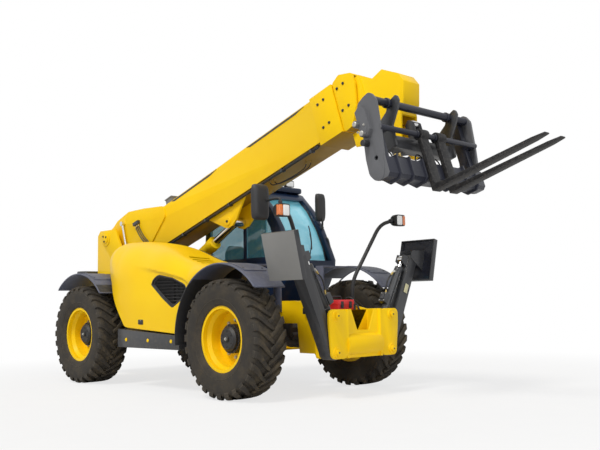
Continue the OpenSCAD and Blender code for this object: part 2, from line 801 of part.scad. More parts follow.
ring_from = [for (i = 0, n = 0; i <= len(tyre_rings); n = n +
    (i < len(tyre_rings) ? len(tyre_rings[i]) : 0), i = i + 1) n];
// Triangles between a ring of few points at f and one of m times as many at t
function fan(f, t, n, m) = [for (k = [0 : n - 1]) each concat(
    [for (j = [0 : m - 1]) let (q = k * m + j + m * n - floor(m / 2)) [f + k, t + q % (m * n),
    t + (q + 1) % (m * n)]],
    [[f + k, t + (k * m + m - floor(m / 2)) % (m * n), f + (k + 1) % n]])];
function turned_over(p) = [for (f = p) [f[0], f[2], f[1]]];
function strip(i) = let (j = (i + 1) % len(tyre_rings), n = len(tyre_rings[i]), m = len(tyre_rings[j]))
    n <= m ? turned_over(fan(ring_from[i], ring_from[j], n, m / n)) : fan(ring_from[j], ring_from[i], m,
        n / m);
tyre_points = [for (r = tyre_rings) each r];
tyre_faces = [for (i = [0 : len(tyre_rings) - 1]) each strip(i)];

module wheel_turn(x, s) home() translate([x, s * wheel_y, axle_z]) scale_y(s) rotate([-90, 0, 0]) children();
module rim(x, s) color(yellow) wheel_turn(x, s) rotate_extrude($fn = 64) polygon(rim_side);
module tyre(x, s) color(black) wheel_turn(x, s) polyhedron(tyre_points, tyre_faces);
module rim_front_left() rim(front_x, 1);
module rim_front_right() rim(front_x, -1);
module rim_rear_left() rim(rear_x, 1);
module rim_rear_right() rim(rear_x, -1);
module tyre_front_left() tyre(front_x, 1);
module tyre_front_right() tyre(front_x, -1);
module tyre_rear_left() tyre(rear_x, 1);
module tyre_rear_right() tyre(rear_x, -1);

// Fenders and front frame

module fender_arc(x, a0, a1, s) translate([x, s * (wheel_y - tyre_w / 2), axle_z]) rotate([90, 0,
    0]) rotate([0, 0, a0])
    rotate_extrude(angle = a1 - a0, $fn = 72) translate([fender_r,
        s > 0 ? -fender_w : 0]) square([fender_t, fender_w]);
module strut(x, s) scale_y(s) {
    block([x - strut_x / 2, frame_out, strut_low],
        [x + strut_x / 2, frame_out + strut_t, axle_z + fender_r + fender_t]);
    block([x - strut_x / 2, frame_out, axle_z + fender_r - strut_arm / 2],
        [x + strut_x / 2, wheel_y - tyre_w / 2 + strut_t, axle_z + fender_r + fender_t]);
}
module front_fenders() color(slate) home() {
    fender_arc(front_x, fender_from, fender_right_to, -1);
    fender_arc(front_x, fender_from, fender_left_to, 1);
    strut(front_x, 1);
    strut(front_x, -1);
}
module rear_fenders() color(slate) home() for (s = [-1, 1]) {
    fender_arc(rear_x, rear_from, rear_to, s);
    strut(rear_x, s);
}

leg_back = leg_x - leg_w / 2 - ear_plate_gap;
leg_front = leg_x + leg_w / 2 + ear_plate_gap;
nose_half = [[notch_half_low, nose_low], [nose_low_out, nose_low], [nose_out, stab_pin_z - leg_eye_r],
    [nose_out, nose_top], [notch_half_top, nose_top], [notch_half_low, notch_low]];
ear_half = [[nose_rib_y, nose_low], [nose_low_out, nose_low], [nose_out, stab_pin_z - leg_eye_r],
    [nose_out, nose_top], [nose_rib_y, nose_top]];
nose_face = [[-nose_rib_y, nose_low], [nose_rib_y, nose_low], [nose_rib_y, nose_top],
    [face_notch_half, nose_top],
    [notch_half_low, notch_low], [-notch_half_low, notch_low], [-face_notch_half, nose_top],
    [-nose_rib_y, nose_top]];
module front_frame() color(yellow) home() {
    both() ahead(nose_x, leg_back) polygon(soft(nose_half, pad_neck / 2));
    block([nose_x, -notch_half_low - over, nose_low], [leg_back, notch_half_low + over, notch_low]);
    both() {
        ahead(leg_front, leg_front + ear_plate_t) polygon(soft(ear_half, plate_ear_round));
        block([nose_x, nose_rib_y - nose_rib_t, nose_low],
            [leg_front + ear_plate_t, nose_rib_y + over, nose_top]);
        pin_x([leg_pin_y, leg_pin_z], leg_pin_r, nose_x, leg_front + ear_plate_t + 2 * hump_t);
        pin_x([leg_pin_y, stab_pin_z], stab_pin_r, nose_x, leg_front + ear_plate_t + 2 * hump_t);
        for (z = [leg_pin_z, stab_pin_z]) pin_x([leg_pin_y, z], ear_boss_r, leg_front + ear_plate_t - over,
            leg_front + ear_plate_t + hump_t);
    }
    ahead(leg_front - nose_face_t, leg_front) polygon(nose_face);
    intersection() {
        pin_y([leg_front - bulge_in, bulge_z], bulge_r, -nose_rib_y, nose_rib_y);
        block([leg_front - nose_face_t, -nose_rib_y, nose_low], [leg_front + bulge_r, nose_rib_y, notch_low]);
    }
}

leg_dir = [cos(leg_angle), sin(leg_angle)];
leg_nor = [-sin(leg_angle), cos(leg_angle)];
leg_pin = [leg_pin_y, leg_pin_z];
function on_leg(l, d) = leg_pin + leg_dir * l + leg_nor * d;
stab_eye = on_leg(leg_l * stab_eye_share, stab_off);
stab_base = [leg_pin_y, stab_pin_z];
stab_l = norm(stab_eye - stab_base) * stab_share;
module leg_arm() {
    difference() {
        union() {
            ahead(leg_x - leg_w / 2, leg_x + leg_w / 2) polygon([on_leg(0, -leg_d / 2),
                on_leg(leg_l, -leg_foot_d / 2),
                on_leg(leg_l, leg_foot_d / 2), on_leg(leg_eye_r * 2, leg_foot_d / 2),
                on_leg(0, leg_eye_r * leg_neck_share)]);
            pin_x(leg_pin, leg_eye_r, leg_x - leg_w / 2, leg_x + leg_w / 2);
        }
        pin_x(leg_pin, leg_pin_r + seat, leg_x - leg_w, leg_x + leg_w);
    }
    for (s = [-1, 1]) translate([s * (stab_eye_w / 2 + stab_lug_t / 2 + seat), 0, 0])
        ahead(leg_x - stab_lug_t / 2, leg_x + stab_lug_t / 2)
            polygon([on_leg(leg_l * stab_eye_share - stab_eye_r * 2, 0),
            on_leg(leg_l, 0), on_leg(leg_l * stab_eye_share + stab_eye_r, stab_off + stab_eye_r),
            on_leg(leg_l * stab_eye_share - stab_eye_r, stab_off + stab_eye_r)]);
}
module leg_left() color(dark) home() { leg_arm(); foot_body(); }
module leg_right() mirror([0, 1, 0]) color(dark) home() { leg_arm(); foot_body(); }
foot_y = leg_pin_y + leg_dir[0] * leg_l + pad_off;
foot_z = leg_pin_z + leg_dir[1] * leg_l - pad_neck / 2;
module foot_body() translate([leg_x, foot_y, foot_z]) rotate([-pad_tilt, 0, 0]) {
    difference() {
        block([-pad_side / 2, -pad_lip, -pad_side / 2], [pad_side / 2, pad_t, pad_side / 2]);
        block([pad_lip_t - pad_side / 2, -pad_lip - over, pad_lip_t - pad_side / 2],
            [pad_side / 2 - pad_lip_t, 0, pad_side / 2 - pad_lip_t]);
    }
    for (s = [-1, 1]) translate([s * (leg_w / 2 + stab_lug_t / 2 - over), 0, 0])
        ahead(-stab_lug_t / 2, stab_lug_t / 2) polygon([[over, -pad_side / 4], [over, pad_side / 4],
            [-pad_off - pad_neck, pad_neck], [-pad_off - pad_neck, -pad_neck / 2]]);
}
module cylinder_barrel(a, b, r, l, er) {
    d = unit(b - a);
    rod(a + d * er * neck_share, a + d * l, r);
    rod(a + d * (l - r), a + d * (l + r * gland_share), r * gland_r_share);
}
function flat_x(p) = [leg_x, p[0], p[1]];
module stab_barrel() color(yellow) home() difference() {
    union() {
        cylinder_barrel(flat_x(stab_base), flat_x(stab_eye), stab_r, stab_l, stab_eye_r);
        pin_x(stab_base, stab_eye_r, leg_x - stab_eye_w / 2, leg_x + stab_eye_w / 2);
    }
    pin_x(stab_base, stab_pin_r + seat, leg_x - leg_w, leg_x + leg_w);
    rod(flat_x(stab_base) + unit(flat_x(stab_eye) - flat_x(stab_base)) * (stab_eye_r + hump_t),
        flat_x(stab_eye), stab_rod_r + seat);
}
module stab_rod() color(steel) home() {
    d = unit(flat_x(stab_eye) - flat_x(stab_base));
    rod(flat_x(stab_base) + d * (stab_eye_r + hump_t * 2), flat_x(stab_eye), stab_rod_r);
    pin_x(stab_eye, stab_eye_r, leg_x - stab_eye_w / 2, leg_x + stab_eye_w / 2);
}
module stab_barrel_left() stab_barrel();
module stab_barrel_right() mirror([0, 1, 0]) stab_barrel();
module stab_rod_left() stab_rod();
module stab_rod_right() mirror([0, 1, 0]) stab_rod();

// Boom, in boom axes

module tube(u0, u1, w, h, t) difference() {
    block([u0, -w / 2, boom_mid - h / 2], [u1, w / 2, boom_mid + h / 2]);
    block([u0 - over, -w / 2 + t, boom_mid - h / 2 + t], [u1 + over, w / 2 - t, boom_mid + h / 2 - t]);
}
module slide_pads(u0, u1, w, h, t) {
    for (s = [-1, 1]) {
        block([u0, min(s * (w / 2 - t - pad_gap + seat), s * (w / 2 - t + over)), boom_mid - h / 4],
            [u1, max(s * (w / 2 - t - pad_gap + seat), s * (w / 2 - t + over)), boom_mid + h / 4]);
        block([u0, -w / 4, boom_mid + min(s * (h / 2 - t - pad_gap + seat), s * (h / 2 - t + over))],
            [u1, w / 4, boom_mid + max(s * (h / 2 - t - pad_gap + seat), s * (h / 2 - t + over))]);
    }
}
boom_ear = soft(spread(ear_shares, [-ear_back, boom_low], [ear_l, ear_h]), ear_round);
module boom_outer() color(yellow) in_boom() difference() {
    union() {
        tube(boom_tail, boom_len, boom_w, boom_h, boom_wall);
        difference() {
            block([boom_len - collar_l, -boom_w / 2 - collar_t, boom_low - collar_low],
                [boom_len, boom_w / 2 + collar_t, boom_top + collar_t]);
            block([boom_len - collar_l - over, -boom_w / 2 + over, boom_low + over],
                [boom_len + over, boom_w / 2 - over, boom_top - over]);
        }
        slide_pads(boom_len - slide_l, boom_len, boom_w, boom_h, boom_wall);
        both() {
            across(boom_w / 2 - boom_wall / 2, boom_w / 2 + ear_t) polygon(boom_ear);
            pin_y([0, 0], boom_boss_r, boom_w / 2, frame_y - run);
            across(lug_plate_gap / 2, lug_plate_gap / 2 + lug_plate_t)
                polygon(soft(concat(spread(lug_shares, [lug_from, boom_low - lug_depth], [lug_l, lug_depth]),
                    [[lug_from + lug_l, boom_low + over], [lug_from, boom_low + over]]), lug_round));
            pin_y([lift_pin_u, lift_pin_w], lift_pin_r, lug_plate_gap / 2 + over,
                lug_plate_gap / 2 + lug_plate_t + hump_t);
        }
        pin_y([0, 0], hub_tube_r, -boom_w / 2, boom_w / 2);
        intersection() {
            sheet(boom_ear, hump_t, -boom_w / 2, boom_w / 2);
            block([0, -boom_w, boom_top - over], [hump_l, boom_w, ear_up + over]);
        }
        pin_y([comp_u, comp_w], comp_eye_r, -comp_y + comp_eye_w / 2 + seat, comp_y - comp_eye_w / 2 - seat);
    }
    pin_y([0, 0], boom_pin_r + seat, -frame_y, frame_y);
}
module boom_tray() color(yellow) in_boom() for (k = [0, 1]) {
    block([tray_from[k], -tray_w / 2, boom_top + tray_foot],
        [tray_to[k], tray_w / 2, boom_top + tray_foot + tray_t]);
    both() block([tray_from[k], tray_w / 2 - tray_t, boom_top + tray_foot],
        [tray_to[k], tray_w / 2, boom_top + tray_foot + tray_h]);
    for (u = [tray_from[k], (tray_from[k] + tray_to[k]) / 2, tray_to[k] - tray_foot_l - collar_l])
        block([u, -tray_w / 4, boom_top], [u + tray_foot_l, tray_w / 4, boom_top + tray_foot + over]);
    if (k == 0) block([block_u, -block_w / 2, boom_top],
        [block_u + block_l, block_w / 2, boom_top + block_h]);
}
module boom_middle() color(yellow) in_boom() {
    tube(mid_tail, boom_len + mid_nose * mid_tube_share, mid_w, mid_h, boom_wall);
    difference() {
        across(-boom_w / 2, boom_w / 2) polygon(soft([for (s = nose_shares)
            [boom_len + mid_gap + s[0] * (mid_nose - mid_gap), mid_nose_up - s[1] * mid_nose_h]],
            nose_round));
        block([boom_len, -mid_w / 2 + over, boom_mid - mid_h / 2 + over],
            [boom_len + mid_nose + pad_neck, mid_w / 2 - over, boom_mid + mid_h / 2 - over]);
    }
    slide_pads(boom_len + mid_gap, boom_len + slide_l, mid_w, mid_h, boom_wall);
}
head_side = concat([[head_back_u, boom_mid + in_h / 2]],
    spread([for (s = head_corner_shares) [s[0], -s[1]]], [head_back_u, head_top_w],
        [head_front_u - head_back_u, head_top_w - head_low_w]),
    [[tilt_u + tilt_boss_r * head_boss_shares[0], tilt_w + tilt_boss_r * head_boss_shares[0]],
     [tilt_u - tilt_boss_r * head_boss_shares[1], tilt_w],
     [head_back_u, -head_toe_low - head_side_back], [head_toe_u, -head_toe_low], [head_toe_u, -head_toe_top],
     [head_back_u, -head_toe_top]]);
module boom_inner() color(yellow) in_boom() difference() {
    union() {
        tube(in_tail, head_back_u + head_t, in_w, in_h, boom_wall);
        both() {
            across(head_w / 2 - head_t, head_w / 2) polygon(head_side);
            pin_y([tilt_u, tilt_w], tilt_boss_r, head_w / 2 - head_t, head_w / 2);
        }
        block([head_back_u, -in_w / 2, boom_mid - in_h / 2],
            [head_back_u + head_t, in_w / 2, boom_mid + in_h / 2]);
        intersection() {
            sheet(head_side, head_t, -head_w / 2, head_w / 2);
            block([head_back_u, -head_w, head_low_w], [head_front_u + over, head_w, head_top_w + head_w]);
        }
        pin_y([tilt_base_u, tilt_base_w], tilt_rod_r, -head_w / 2, -tilt_eye_w / 2 - seat);
        pin_y([tilt_base_u, tilt_base_w], tilt_rod_r, tilt_eye_w / 2 + seat, head_w / 2);
        pin_y([tilt_base_u, tilt_base_w], tilt_rod_r - seat, -head_w / 2, head_w / 2);
    }
    pin_y([tilt_u, tilt_w], tilt_pin_r + seat, -head_w, head_w);
}

// Tilt linkage and carriage, in boom axes

tilt_base = [tilt_base_u, 0, tilt_base_w];
tilt_lever = [lever_u, 0, lever_w];
tilt_dir = unit(tilt_lever - tilt_base);
module tilt_barrel() color(dark) in_boom() difference() {
    union() {
        cylinder_barrel(tilt_base, tilt_lever, tilt_cyl_r, tilt_cyl_l, tilt_eye_r);
        pin_y([tilt_base_u, tilt_base_w], tilt_eye_r, -tilt_eye_w / 2, tilt_eye_w / 2);
    }
    pin_y([tilt_base_u, tilt_base_w], tilt_rod_r, -head_w, head_w);
    rod(tilt_base + tilt_dir * (tilt_eye_r + hump_t), tilt_lever, tilt_rod_r + seat);
}
module tilt_rod() color(steel) in_boom() {
    rod(tilt_base + tilt_dir * (tilt_eye_r + hump_t + tilt_back), tilt_lever, tilt_rod_r);
    pin_y([lever_u, lever_w], tilt_eye_r, -tilt_eye_w / 2, tilt_eye_w / 2);
}
module coupler() color(dark) in_boom() {
    block([beam_u, -hook_y - hook_t / 2, beam_low], [beam_u + beam_d, hook_y + hook_t / 2, beam_top]);
    both() {
        difference() {
            across(hook_y - hook_t / 2, hook_y + hook_t / 2)
                polygon(soft(spread(hook_shares, [beam_u, beam_low], [hook_l, hook_h]), fork_back));
            pin_y([bar_u, bar_w], bar_r + seat, hook_y - hook_t, hook_y + hook_t);
        }
        across(head_w / 2 + coupler_eye_gap, head_w / 2 + coupler_eye_gap + coupler_t)
            polygon([[tilt_u, tilt_w - tilt_boss_r], [tilt_u, tilt_w + tilt_boss_r],
                [beam_u + over, beam_top],
                [beam_u + over, beam_low]]);
        pin_y([tilt_u, tilt_w], tilt_boss_r, head_w / 2 + coupler_eye_gap,
            head_w / 2 + coupler_eye_gap + coupler_t);
        pin_y([tilt_u, tilt_w], tilt_pin_r, head_w / 2 - head_t, head_w / 2 + coupler_eye_gap + coupler_t);
        across(lever_gap / 2, lever_gap / 2 + lever_t) polygon(soft([[beam_u + over, beam_low],
            [beam_u + beam_d, beam_low], [lever_u + lever_r, lever_w], [lever_u, lever_w + lever_r],
            [lever_u - lever_r, lever_w],
            [beam_u + over, beam_top]], fork_back));
    }
}
function on_plate(shares) = spread(shares, [plate_u, plate_top_w - carriage_h], [plate_d, carriage_h]);
plate_side = on_plate(plate_shares);
box_front = fork_bar_u - fork_back - seat;
box_side = [[box_back, box_low + box_lip], [box_back, box_low + box_h], [box_front, box_low + box_h],
    [box_front, box_low + box_lip / 2], [box_front - box_lip / 2, box_low], [box_back + box_lip, box_low]];
module fork_frame() color(dark) in_boom() {
    both() {
        difference() {
            across(carriage_w / 2 - plate_t, carriage_w / 2) polygon(soft(plate_side, plate_round));
            pin_y(on_plate([plate_hole_shares])[0], plate_hole_r, carriage_w / 2 - plate_t - over,
                carriage_w / 2 + over);
        }
        across(carriage_w / 2 - over, carriage_w / 2 + bracket_t) polygon(on_plate(bracket_shares));
        for (p = on_plate(bracket_pin_shares))
            pin_y(p, bracket_pin_r, carriage_w / 2 - over, carriage_w / 2 + bracket_t + bracket_pin_out);
        block([post_back, post_y, box_low + box_lip + over],
            [post_back + post_d, post_y + post_w, bar_w + bar_r]);
        block([post_back + post_d - over, post_y, fork_bar_w - fork_bar_r],
            [fork_bar_u, post_y + post_w, fork_bar_w + fork_bar_r]);
        for (k = box_rib_shares) across(k * carriage_w / 2 - box_rib_t / 2,
            k * carriage_w / 2 + box_rib_t / 2)
            polygon(inset(box_side, -box_rib_out));
    }
    for (b = [[bar_u, bar_w, bar_r], [fork_bar_u, fork_bar_w, fork_bar_r]])
        pin_y(b, b[2], -carriage_w / 2 + over, carriage_w / 2 - over);
    across(-carriage_w / 2 + over, carriage_w / 2 - over) polygon(box_side);
}
fork_back_u = fork_bar_u - fork_back;
fork_taper_u = fork_back_u + fork_l * (1 - fork_tip_l_share);
fork_plan = [[fork_back_u - fork_eye_r, -fork_w / 2], [fork_taper_u, -fork_w / 2],
    [fork_back_u + fork_l, -fork_w / 2 * fork_tip_w_share],
    [fork_back_u + fork_l, fork_w / 2 * fork_tip_w_share],
    [fork_taper_u, fork_w / 2], [fork_back_u - fork_eye_r, fork_w / 2]];
module fork(y) translate([0, y, 0]) difference() {
    union() {
        pin_y([fork_bar_u, fork_bar_w], fork_eye_r, -fork_w / 2, fork_w / 2);
        intersection() {
            across(-fork_w / 2, fork_w / 2) polygon([[fork_back_u, fork_bar_w], [fork_back_u, fork_low],
                [fork_back_u + fork_l, fork_low], [fork_back_u + fork_l, fork_low + fork_tip_t],
                each spread(fork_heel_shares, [fork_back_u, fork_low], [fork_t, fork_t]),
                [fork_back_u + fork_t, fork_bar_w]]);
            translate([0, 0, fork_low - over]) linear_extrude(carriage_h) polygon(fork_plan);
        }
    }
    pin_y([fork_bar_u, fork_bar_w], fork_bar_r + seat, -fork_w, fork_w);
}
module forks() color(dark) in_boom() for (s = [-1, 1]) fork(s * fork_gap / 2);

// Lift and compensation cylinders, in chassis axes

function boom_at(u, w) = [pivot_x + u * cos(boom_angle) - w * sin(boom_angle),
    boom_pivot_z + u * sin(boom_angle) + w * cos(boom_angle)];
function flat_y(p, y) = [p[0], y, p[1]];
lift_top = boom_at(lift_pin_u, lift_pin_w);
lift_a = flat_y(lift_base, 0);
lift_b = flat_y(lift_top, 0);
lift_dir = unit(lift_b - lift_a);
lift_l = norm(lift_b - lift_a) * lift_share;
module lift_barrel() color(yellow) home() difference() {
    union() {
        cylinder_barrel(lift_a, lift_b, lift_r, lift_l, lift_eye_r);
        pin_y(lift_base, lift_eye_r, -lift_eye_w / 2, lift_eye_w / 2);
    }
    pin_y(lift_base, lift_pin_r + seat, -frame_y, frame_y);
    rod(lift_a + lift_dir * (lift_eye_r + hump_t), lift_b, lift_rod_r + seat);
}
module lift_rod() color(steel) home() {
    rod(lift_a + lift_dir * (lift_eye_r + hump_t + lift_back), lift_b, lift_rod_r);
    pin_y(lift_top, lift_end_r, -lug_plate_gap / 2 + play, lug_plate_gap / 2 - play);
}
comp_top = boom_at(comp_u, comp_w);
comp_dir = unit(flat_y(comp_top, 0) - flat_y(comp_base, 0));
module comp_barrel() color(yellow) home() both() difference() {
    union() {
        cylinder_barrel(flat_y(comp_base, comp_y), flat_y(comp_top, comp_y), comp_r, comp_l, comp_eye_r);
        pin_y(comp_base, comp_eye_r, comp_y - comp_eye_w / 2, comp_y + comp_eye_w / 2);
    }
    pin_y(comp_base, comp_rod_r + seat, 0, frame_out);
    rod(flat_y(comp_base, comp_y) + comp_dir * (comp_eye_r + hump_t), flat_y(comp_top, comp_y),
        comp_rod_r + seat);
}
module comp_rod() color(steel) home() both() {
    rod(flat_y(comp_base, comp_y) + comp_dir * (comp_eye_r + hump_t + comp_back), flat_y(comp_top, comp_y),
        comp_rod_r);
    pin_y(comp_top, comp_eye_r, comp_y - comp_eye_w / 2, comp_y + comp_eye_w / 2);
}

// Engine pod on the right

function hood_part(shares) = spread(shares, [hood_rear_x, hood_low_z], [hood_l, hood_h]);
hood_top = hood_part(hood_top_shares);
function arch(from) = let (to = half_turn - asin((hood_low_z - axle_z) / arch_r))
    [for (k = [0 : arch_steps]) let (a = from + (to - from) * k / arch_steps)
        [front_x + arch_r * cos(a), axle_z + arch_r * sin(a)]];
tip_top = hood_tip + [0, tip_t];
core_x = front_x + arch_r * cos(core_angle);
hood_last = hood_top[len(hood_top) - 1];
core_top = [core_x, hood_last[1] + (tip_top - hood_last)[1] * (core_x - hood_last[0]) /
    (tip_top - hood_last)[0]];
hood_side = concat(hood_top, [tip_top], arch(tip_angle), hood_part(hood_rear_shares));
hood_core = inset(concat(hood_top, [core_top], arch(core_angle), hood_part(hood_rear_shares)), hood_t);
hood_span = hood_out_y - hood_in_y;
hood_crown = spread([for (s = hood_crown_shares) [s[0] - 1, s[1]]], [-hood_in_y, hood_low_z],
    [hood_span, hood_h]);
hood_plan = spread([for (s = hood_plan_shares) [s[0], s[1] - 1]], [hood_rear_x, -hood_in_y],
    [hood_l, hood_span]);
hood_edge = hood_t * edge_share;
hood_inner_plan = [for (p = inset(hood_plan, hood_t)) [p[0],
    p[1] > -hood_in_y - hood_edge ? -hood_in_y + over : p[1]]];
hood_inner_crown = [for (p = inset(hood_crown, hood_t))
    [p[0] > -hood_in_y - hood_edge ? -hood_in_y + over : p[0],
    p[1] < hood_low_z + hood_edge ? hood_low_z - over : p[1]]];
module pod_solid(side, crown, plan) intersection() {
    across(-hood_out_y - over, -hood_in_y + over) polygon(side);
    ahead(hood_rear_x - over, hood_rear_x + hood_l + over) polygon(crown);
    translate([0, 0, hood_low_z - over]) linear_extrude(hood_h + 2 * over) polygon(plan);
}
grille = hood_part(grille_shares);
module engine_hood() color(yellow) home() {
    hood_shell();
    for (p = [hood_top[2], hood_top[3]]) {
        pin_x([-hood_in_y, hood_top_z], hinge_r, p[0] - hinge_l / 2, p[0] + hinge_l / 2);
        block([p[0] - hinge_l / 2, -hood_in_y - hood_t, p[1] - hood_t / 2],
            [p[0] + hinge_l / 2, -hood_in_y, hood_top_z]);
    }
}
module hood_shell() difference() {
    pod_solid(hood_side, hood_crown, hood_plan);
    pod_solid(hood_core, hood_inner_crown, hood_inner_plan);
    block([hood_core[len(hood_core) - 4][0], -hood_out_y + hood_t, hood_low_z - over],
        [sill_to - hood_t, -hood_in_y + over, hood_low_z + hood_h / 4]);
    across(-hood_out_y - over, -hood_out_y + hood_t + over) polygon(grille);
    for (k = [0 : 2]) translate([k * louvre_step / 2, 0, k * louvre_step])
        block([louvre_x, -hood_out_y - over, louvre_z - hood_t],
            [louvre_x + louvre_l, -hood_in_y - hood_span / 2, louvre_z - hood_t + louvre_h]);
}
module hood_grille() color(black) home() intersection() {
    across(-hood_out_y + seat, -hood_out_y + hood_t) polygon(inset(grille, seat));
    union() {
        sheet(grille, grille_bar_t * edge_share, -hood_out_y, -hood_out_y + hood_t);
        for (k = [0 : grille_bars]) let (z = grille[5][1] + k * (grille[1][1] - grille[5][1]) / grille_bars)
            block([grille[0][0], -hood_out_y, z], [grille[3][0], -hood_out_y + hood_t, z + grille_bar_t]);
    }
}
module engine_bay() color(dark) home() {
    across(-hood_in_y + bay_in_gap, -frame_out - over) polygon(hood_core);
    block([engine_x, -hood_out_y + hood_t + run, engine_z],
        [sill_to - hood_t * 3, -frame_out - over, engine_z + bay_t]);
}
module engine() color(dark) home() block([engine_x, -hood_in_y - hood_t - engine_w, engine_z + bay_t],
    [engine_x + engine_l, -hood_in_y - hood_t, engine_z + bay_t + engine_h]);
module side_sill() color(dark) home() across(-hood_out_y,
    -frame_out) polygon([[sill_from, sill_low], [sill_to, sill_low],
    [sill_to + hood_t, sill_high], [sill_from, sill_rear_high]]);

// Cab on the left

cab_out_y = cab_in_y + cab_w;
cab_h = cab_top_z - roof_t - cab_low_z;
cab_side = spread(cab_shares, [cab_rear_x, cab_low_z], [cab_l, cab_h]);
function cab_pt(s) = [cab_rear_x + s[0] * cab_l, cab_low_z + s[1] * cab_h];
screen = [for (s = screen_shares) cab_pt(s)];
door_side = [for (s = door_shares) cab_pt(s)];
module cab_shell() color(black) home() {
    cab_box();
    for (z = [hinge_low, hinge_high]) difference() {
        hinge_half(z - hinge_l - seat, -1);
        across(cab_out_y - pillar, cab_out_y + seat) polygon(door_side);
    }
}
module cab_box() difference() {
    across(cab_in_y, cab_out_y) polygon(cab_side);
    across(cab_in_y + cab_wall, cab_out_y - cab_wall) polygon(inset(cab_side, cab_wall));
    across(cab_in_y + cab_wall + pillar / 2, cab_out_y - cab_wall - pillar / 2)
        polygon(concat(screen, [for (i = [len(screen) - 1 : -1 : 0]) screen[i] + [cab_l / 3, cab_wall]]));
    across(cab_out_y - cab_wall - over, cab_out_y + over) polygon(inset(door_side, -door_gap));
    across(cab_in_y - over, cab_in_y + cab_wall + over) { polygon(right_rear); polygon(right_front); }
    ahead(cab_rear_x - over, cab_rear_x + cab_l / 4) polygon(rear_pane);
}
module cab_roof() color(black) home() translate([0, 0, cab_top_z - roof_t]) linear_extrude(roof_t)
    polygon(soft([[cab_rear_x + roof_over, cab_in_y], [cab_rear_x + cab_l * roof_front_share, cab_in_y],
        [cab_rear_x + cab_l * roof_front_share, cab_out_y], [cab_rear_x + roof_over, cab_out_y]], pillar));
right_rear = inset([cab_pt([right_from_share, rear_low_share]), cab_pt([right_mid_share, rear_low_share]),
    cab_pt([right_mid_share, rear_high_share]), cab_pt([right_from_share, rear_high_share])], pillar / 2);
right_front = inset([cab_pt([right_mid_share, rear_low_share]),
    cab_pt([right_to_share + right_slope_share, rear_low_share]), cab_pt([right_to_share, right_bend_share]),
    cab_pt([right_to_share - right_lean_share, rear_high_share]),
    cab_pt([right_mid_share, rear_high_share])], pillar / 2);
rear_pane = [[cab_in_y + cab_wall + pillar / 2, cab_pt([0, rear_low_share])[1]],
    [cab_out_y - cab_wall - pillar / 2, cab_pt([0, rear_low_share])[1]],
    [cab_out_y - cab_wall - pillar / 2, cab_pt([0, rear_high_share])[1]],
    [cab_in_y + cab_wall + pillar / 2, cab_pt([0, rear_high_share])[1]]];
module cab_glass() color(glass) home() {
    across(cab_in_y + cab_wall + pillar / 2 + seat, cab_out_y - cab_wall - pillar / 2 - seat)
        polygon(concat(screen, [for (i = [len(screen) - 1 : -1 : 0]) screen[i] + [glass_t, glass_t / 2]]));
    across(cab_in_y + glass_t, cab_in_y + 2 * glass_t) {
        polygon(inset(right_rear, seat));
        polygon(inset(right_front, seat));
    }
    intersection() {
        ahead(cab_rear_x - over, cab_rear_x + cab_l / 4) polygon(inset(rear_pane, seat));
        across(cab_in_y, cab_out_y) polygon([cab_pt([0, rear_low_share]),
            cab_pt([rear_lean_share, rear_high_share]),
            cab_pt([rear_lean_share, rear_high_share]) + [glass_t, 0],
                cab_pt([0, rear_low_share]) + [glass_t, 0]]);
    }
}
door_split = cab_pt([0, door_split_share])[1];
module door_panes(g) intersection() {
    polygon(inset(door_side, door_rail + g));
    union() for (k = [0, 1]) translate([cab_rear_x, k == 0 ? cab_low_z : door_split + door_rail / 2 + g])
        square([cab_l, k == 0 ? door_split - door_rail / 2 - g - cab_low_z : cab_h]);
}
door_axis = [door_side[0][0] - door_gap / 2, cab_out_y + hinge_r + seat];
module hinge_half(z, d) translate([door_axis[0], door_axis[1], z]) {
    cylinder(r = hinge_r, h = hinge_l);
    block([min(0, d * hinge_l), -hinge_r - seat - over, 0], [max(0, d * hinge_l), 0, hinge_l]);
}
hinge_low = cab_low_z + cab_wall * 4;
hinge_high = cab_low_z + cab_h - cab_wall * 6;
module door_frame() color(black) home() {
    difference() {
        across(cab_out_y - door_t, cab_out_y) polygon(door_side);
        across(cab_out_y - door_t - over, cab_out_y + over) door_panes(0);
    }
    for (z = [hinge_low, hinge_high]) hinge_half(z, 1);
}
module door_glass() color(glass) home()
    across(cab_out_y - door_t / 2, cab_out_y - door_t / 2 + glass_t) door_panes(seat);
cab_mid_y = (cab_in_y + cab_out_y) / 2;
module cab_seat() color(dark) home() translate([seat_x, cab_mid_y, 0]) {
    block([-seat_l / 2, -seat_w / 2, seat_z - cushion_h], [seat_l / 2, seat_w / 2, seat_z]);
    translate([-seat_l / 2 + back_t / 2, 0, seat_z - cushion_h / 2]) rotate([0, -back_lean, 0])
        block([-back_t / 2, -seat_w / 2 + back_in, 0],
            [back_t / 2, seat_w / 2 - back_in, back_h + cushion_h / 2]);
    block([-seat_l / 2 + base_in, -seat_w / 2 + base_in, cab_low_z + cab_wall],
        [seat_l / 2 - base_in, seat_w / 2 - base_in, seat_z - cushion_h + over]);
}
dash_z = cab_low_z + cab_wall + dash_lift;
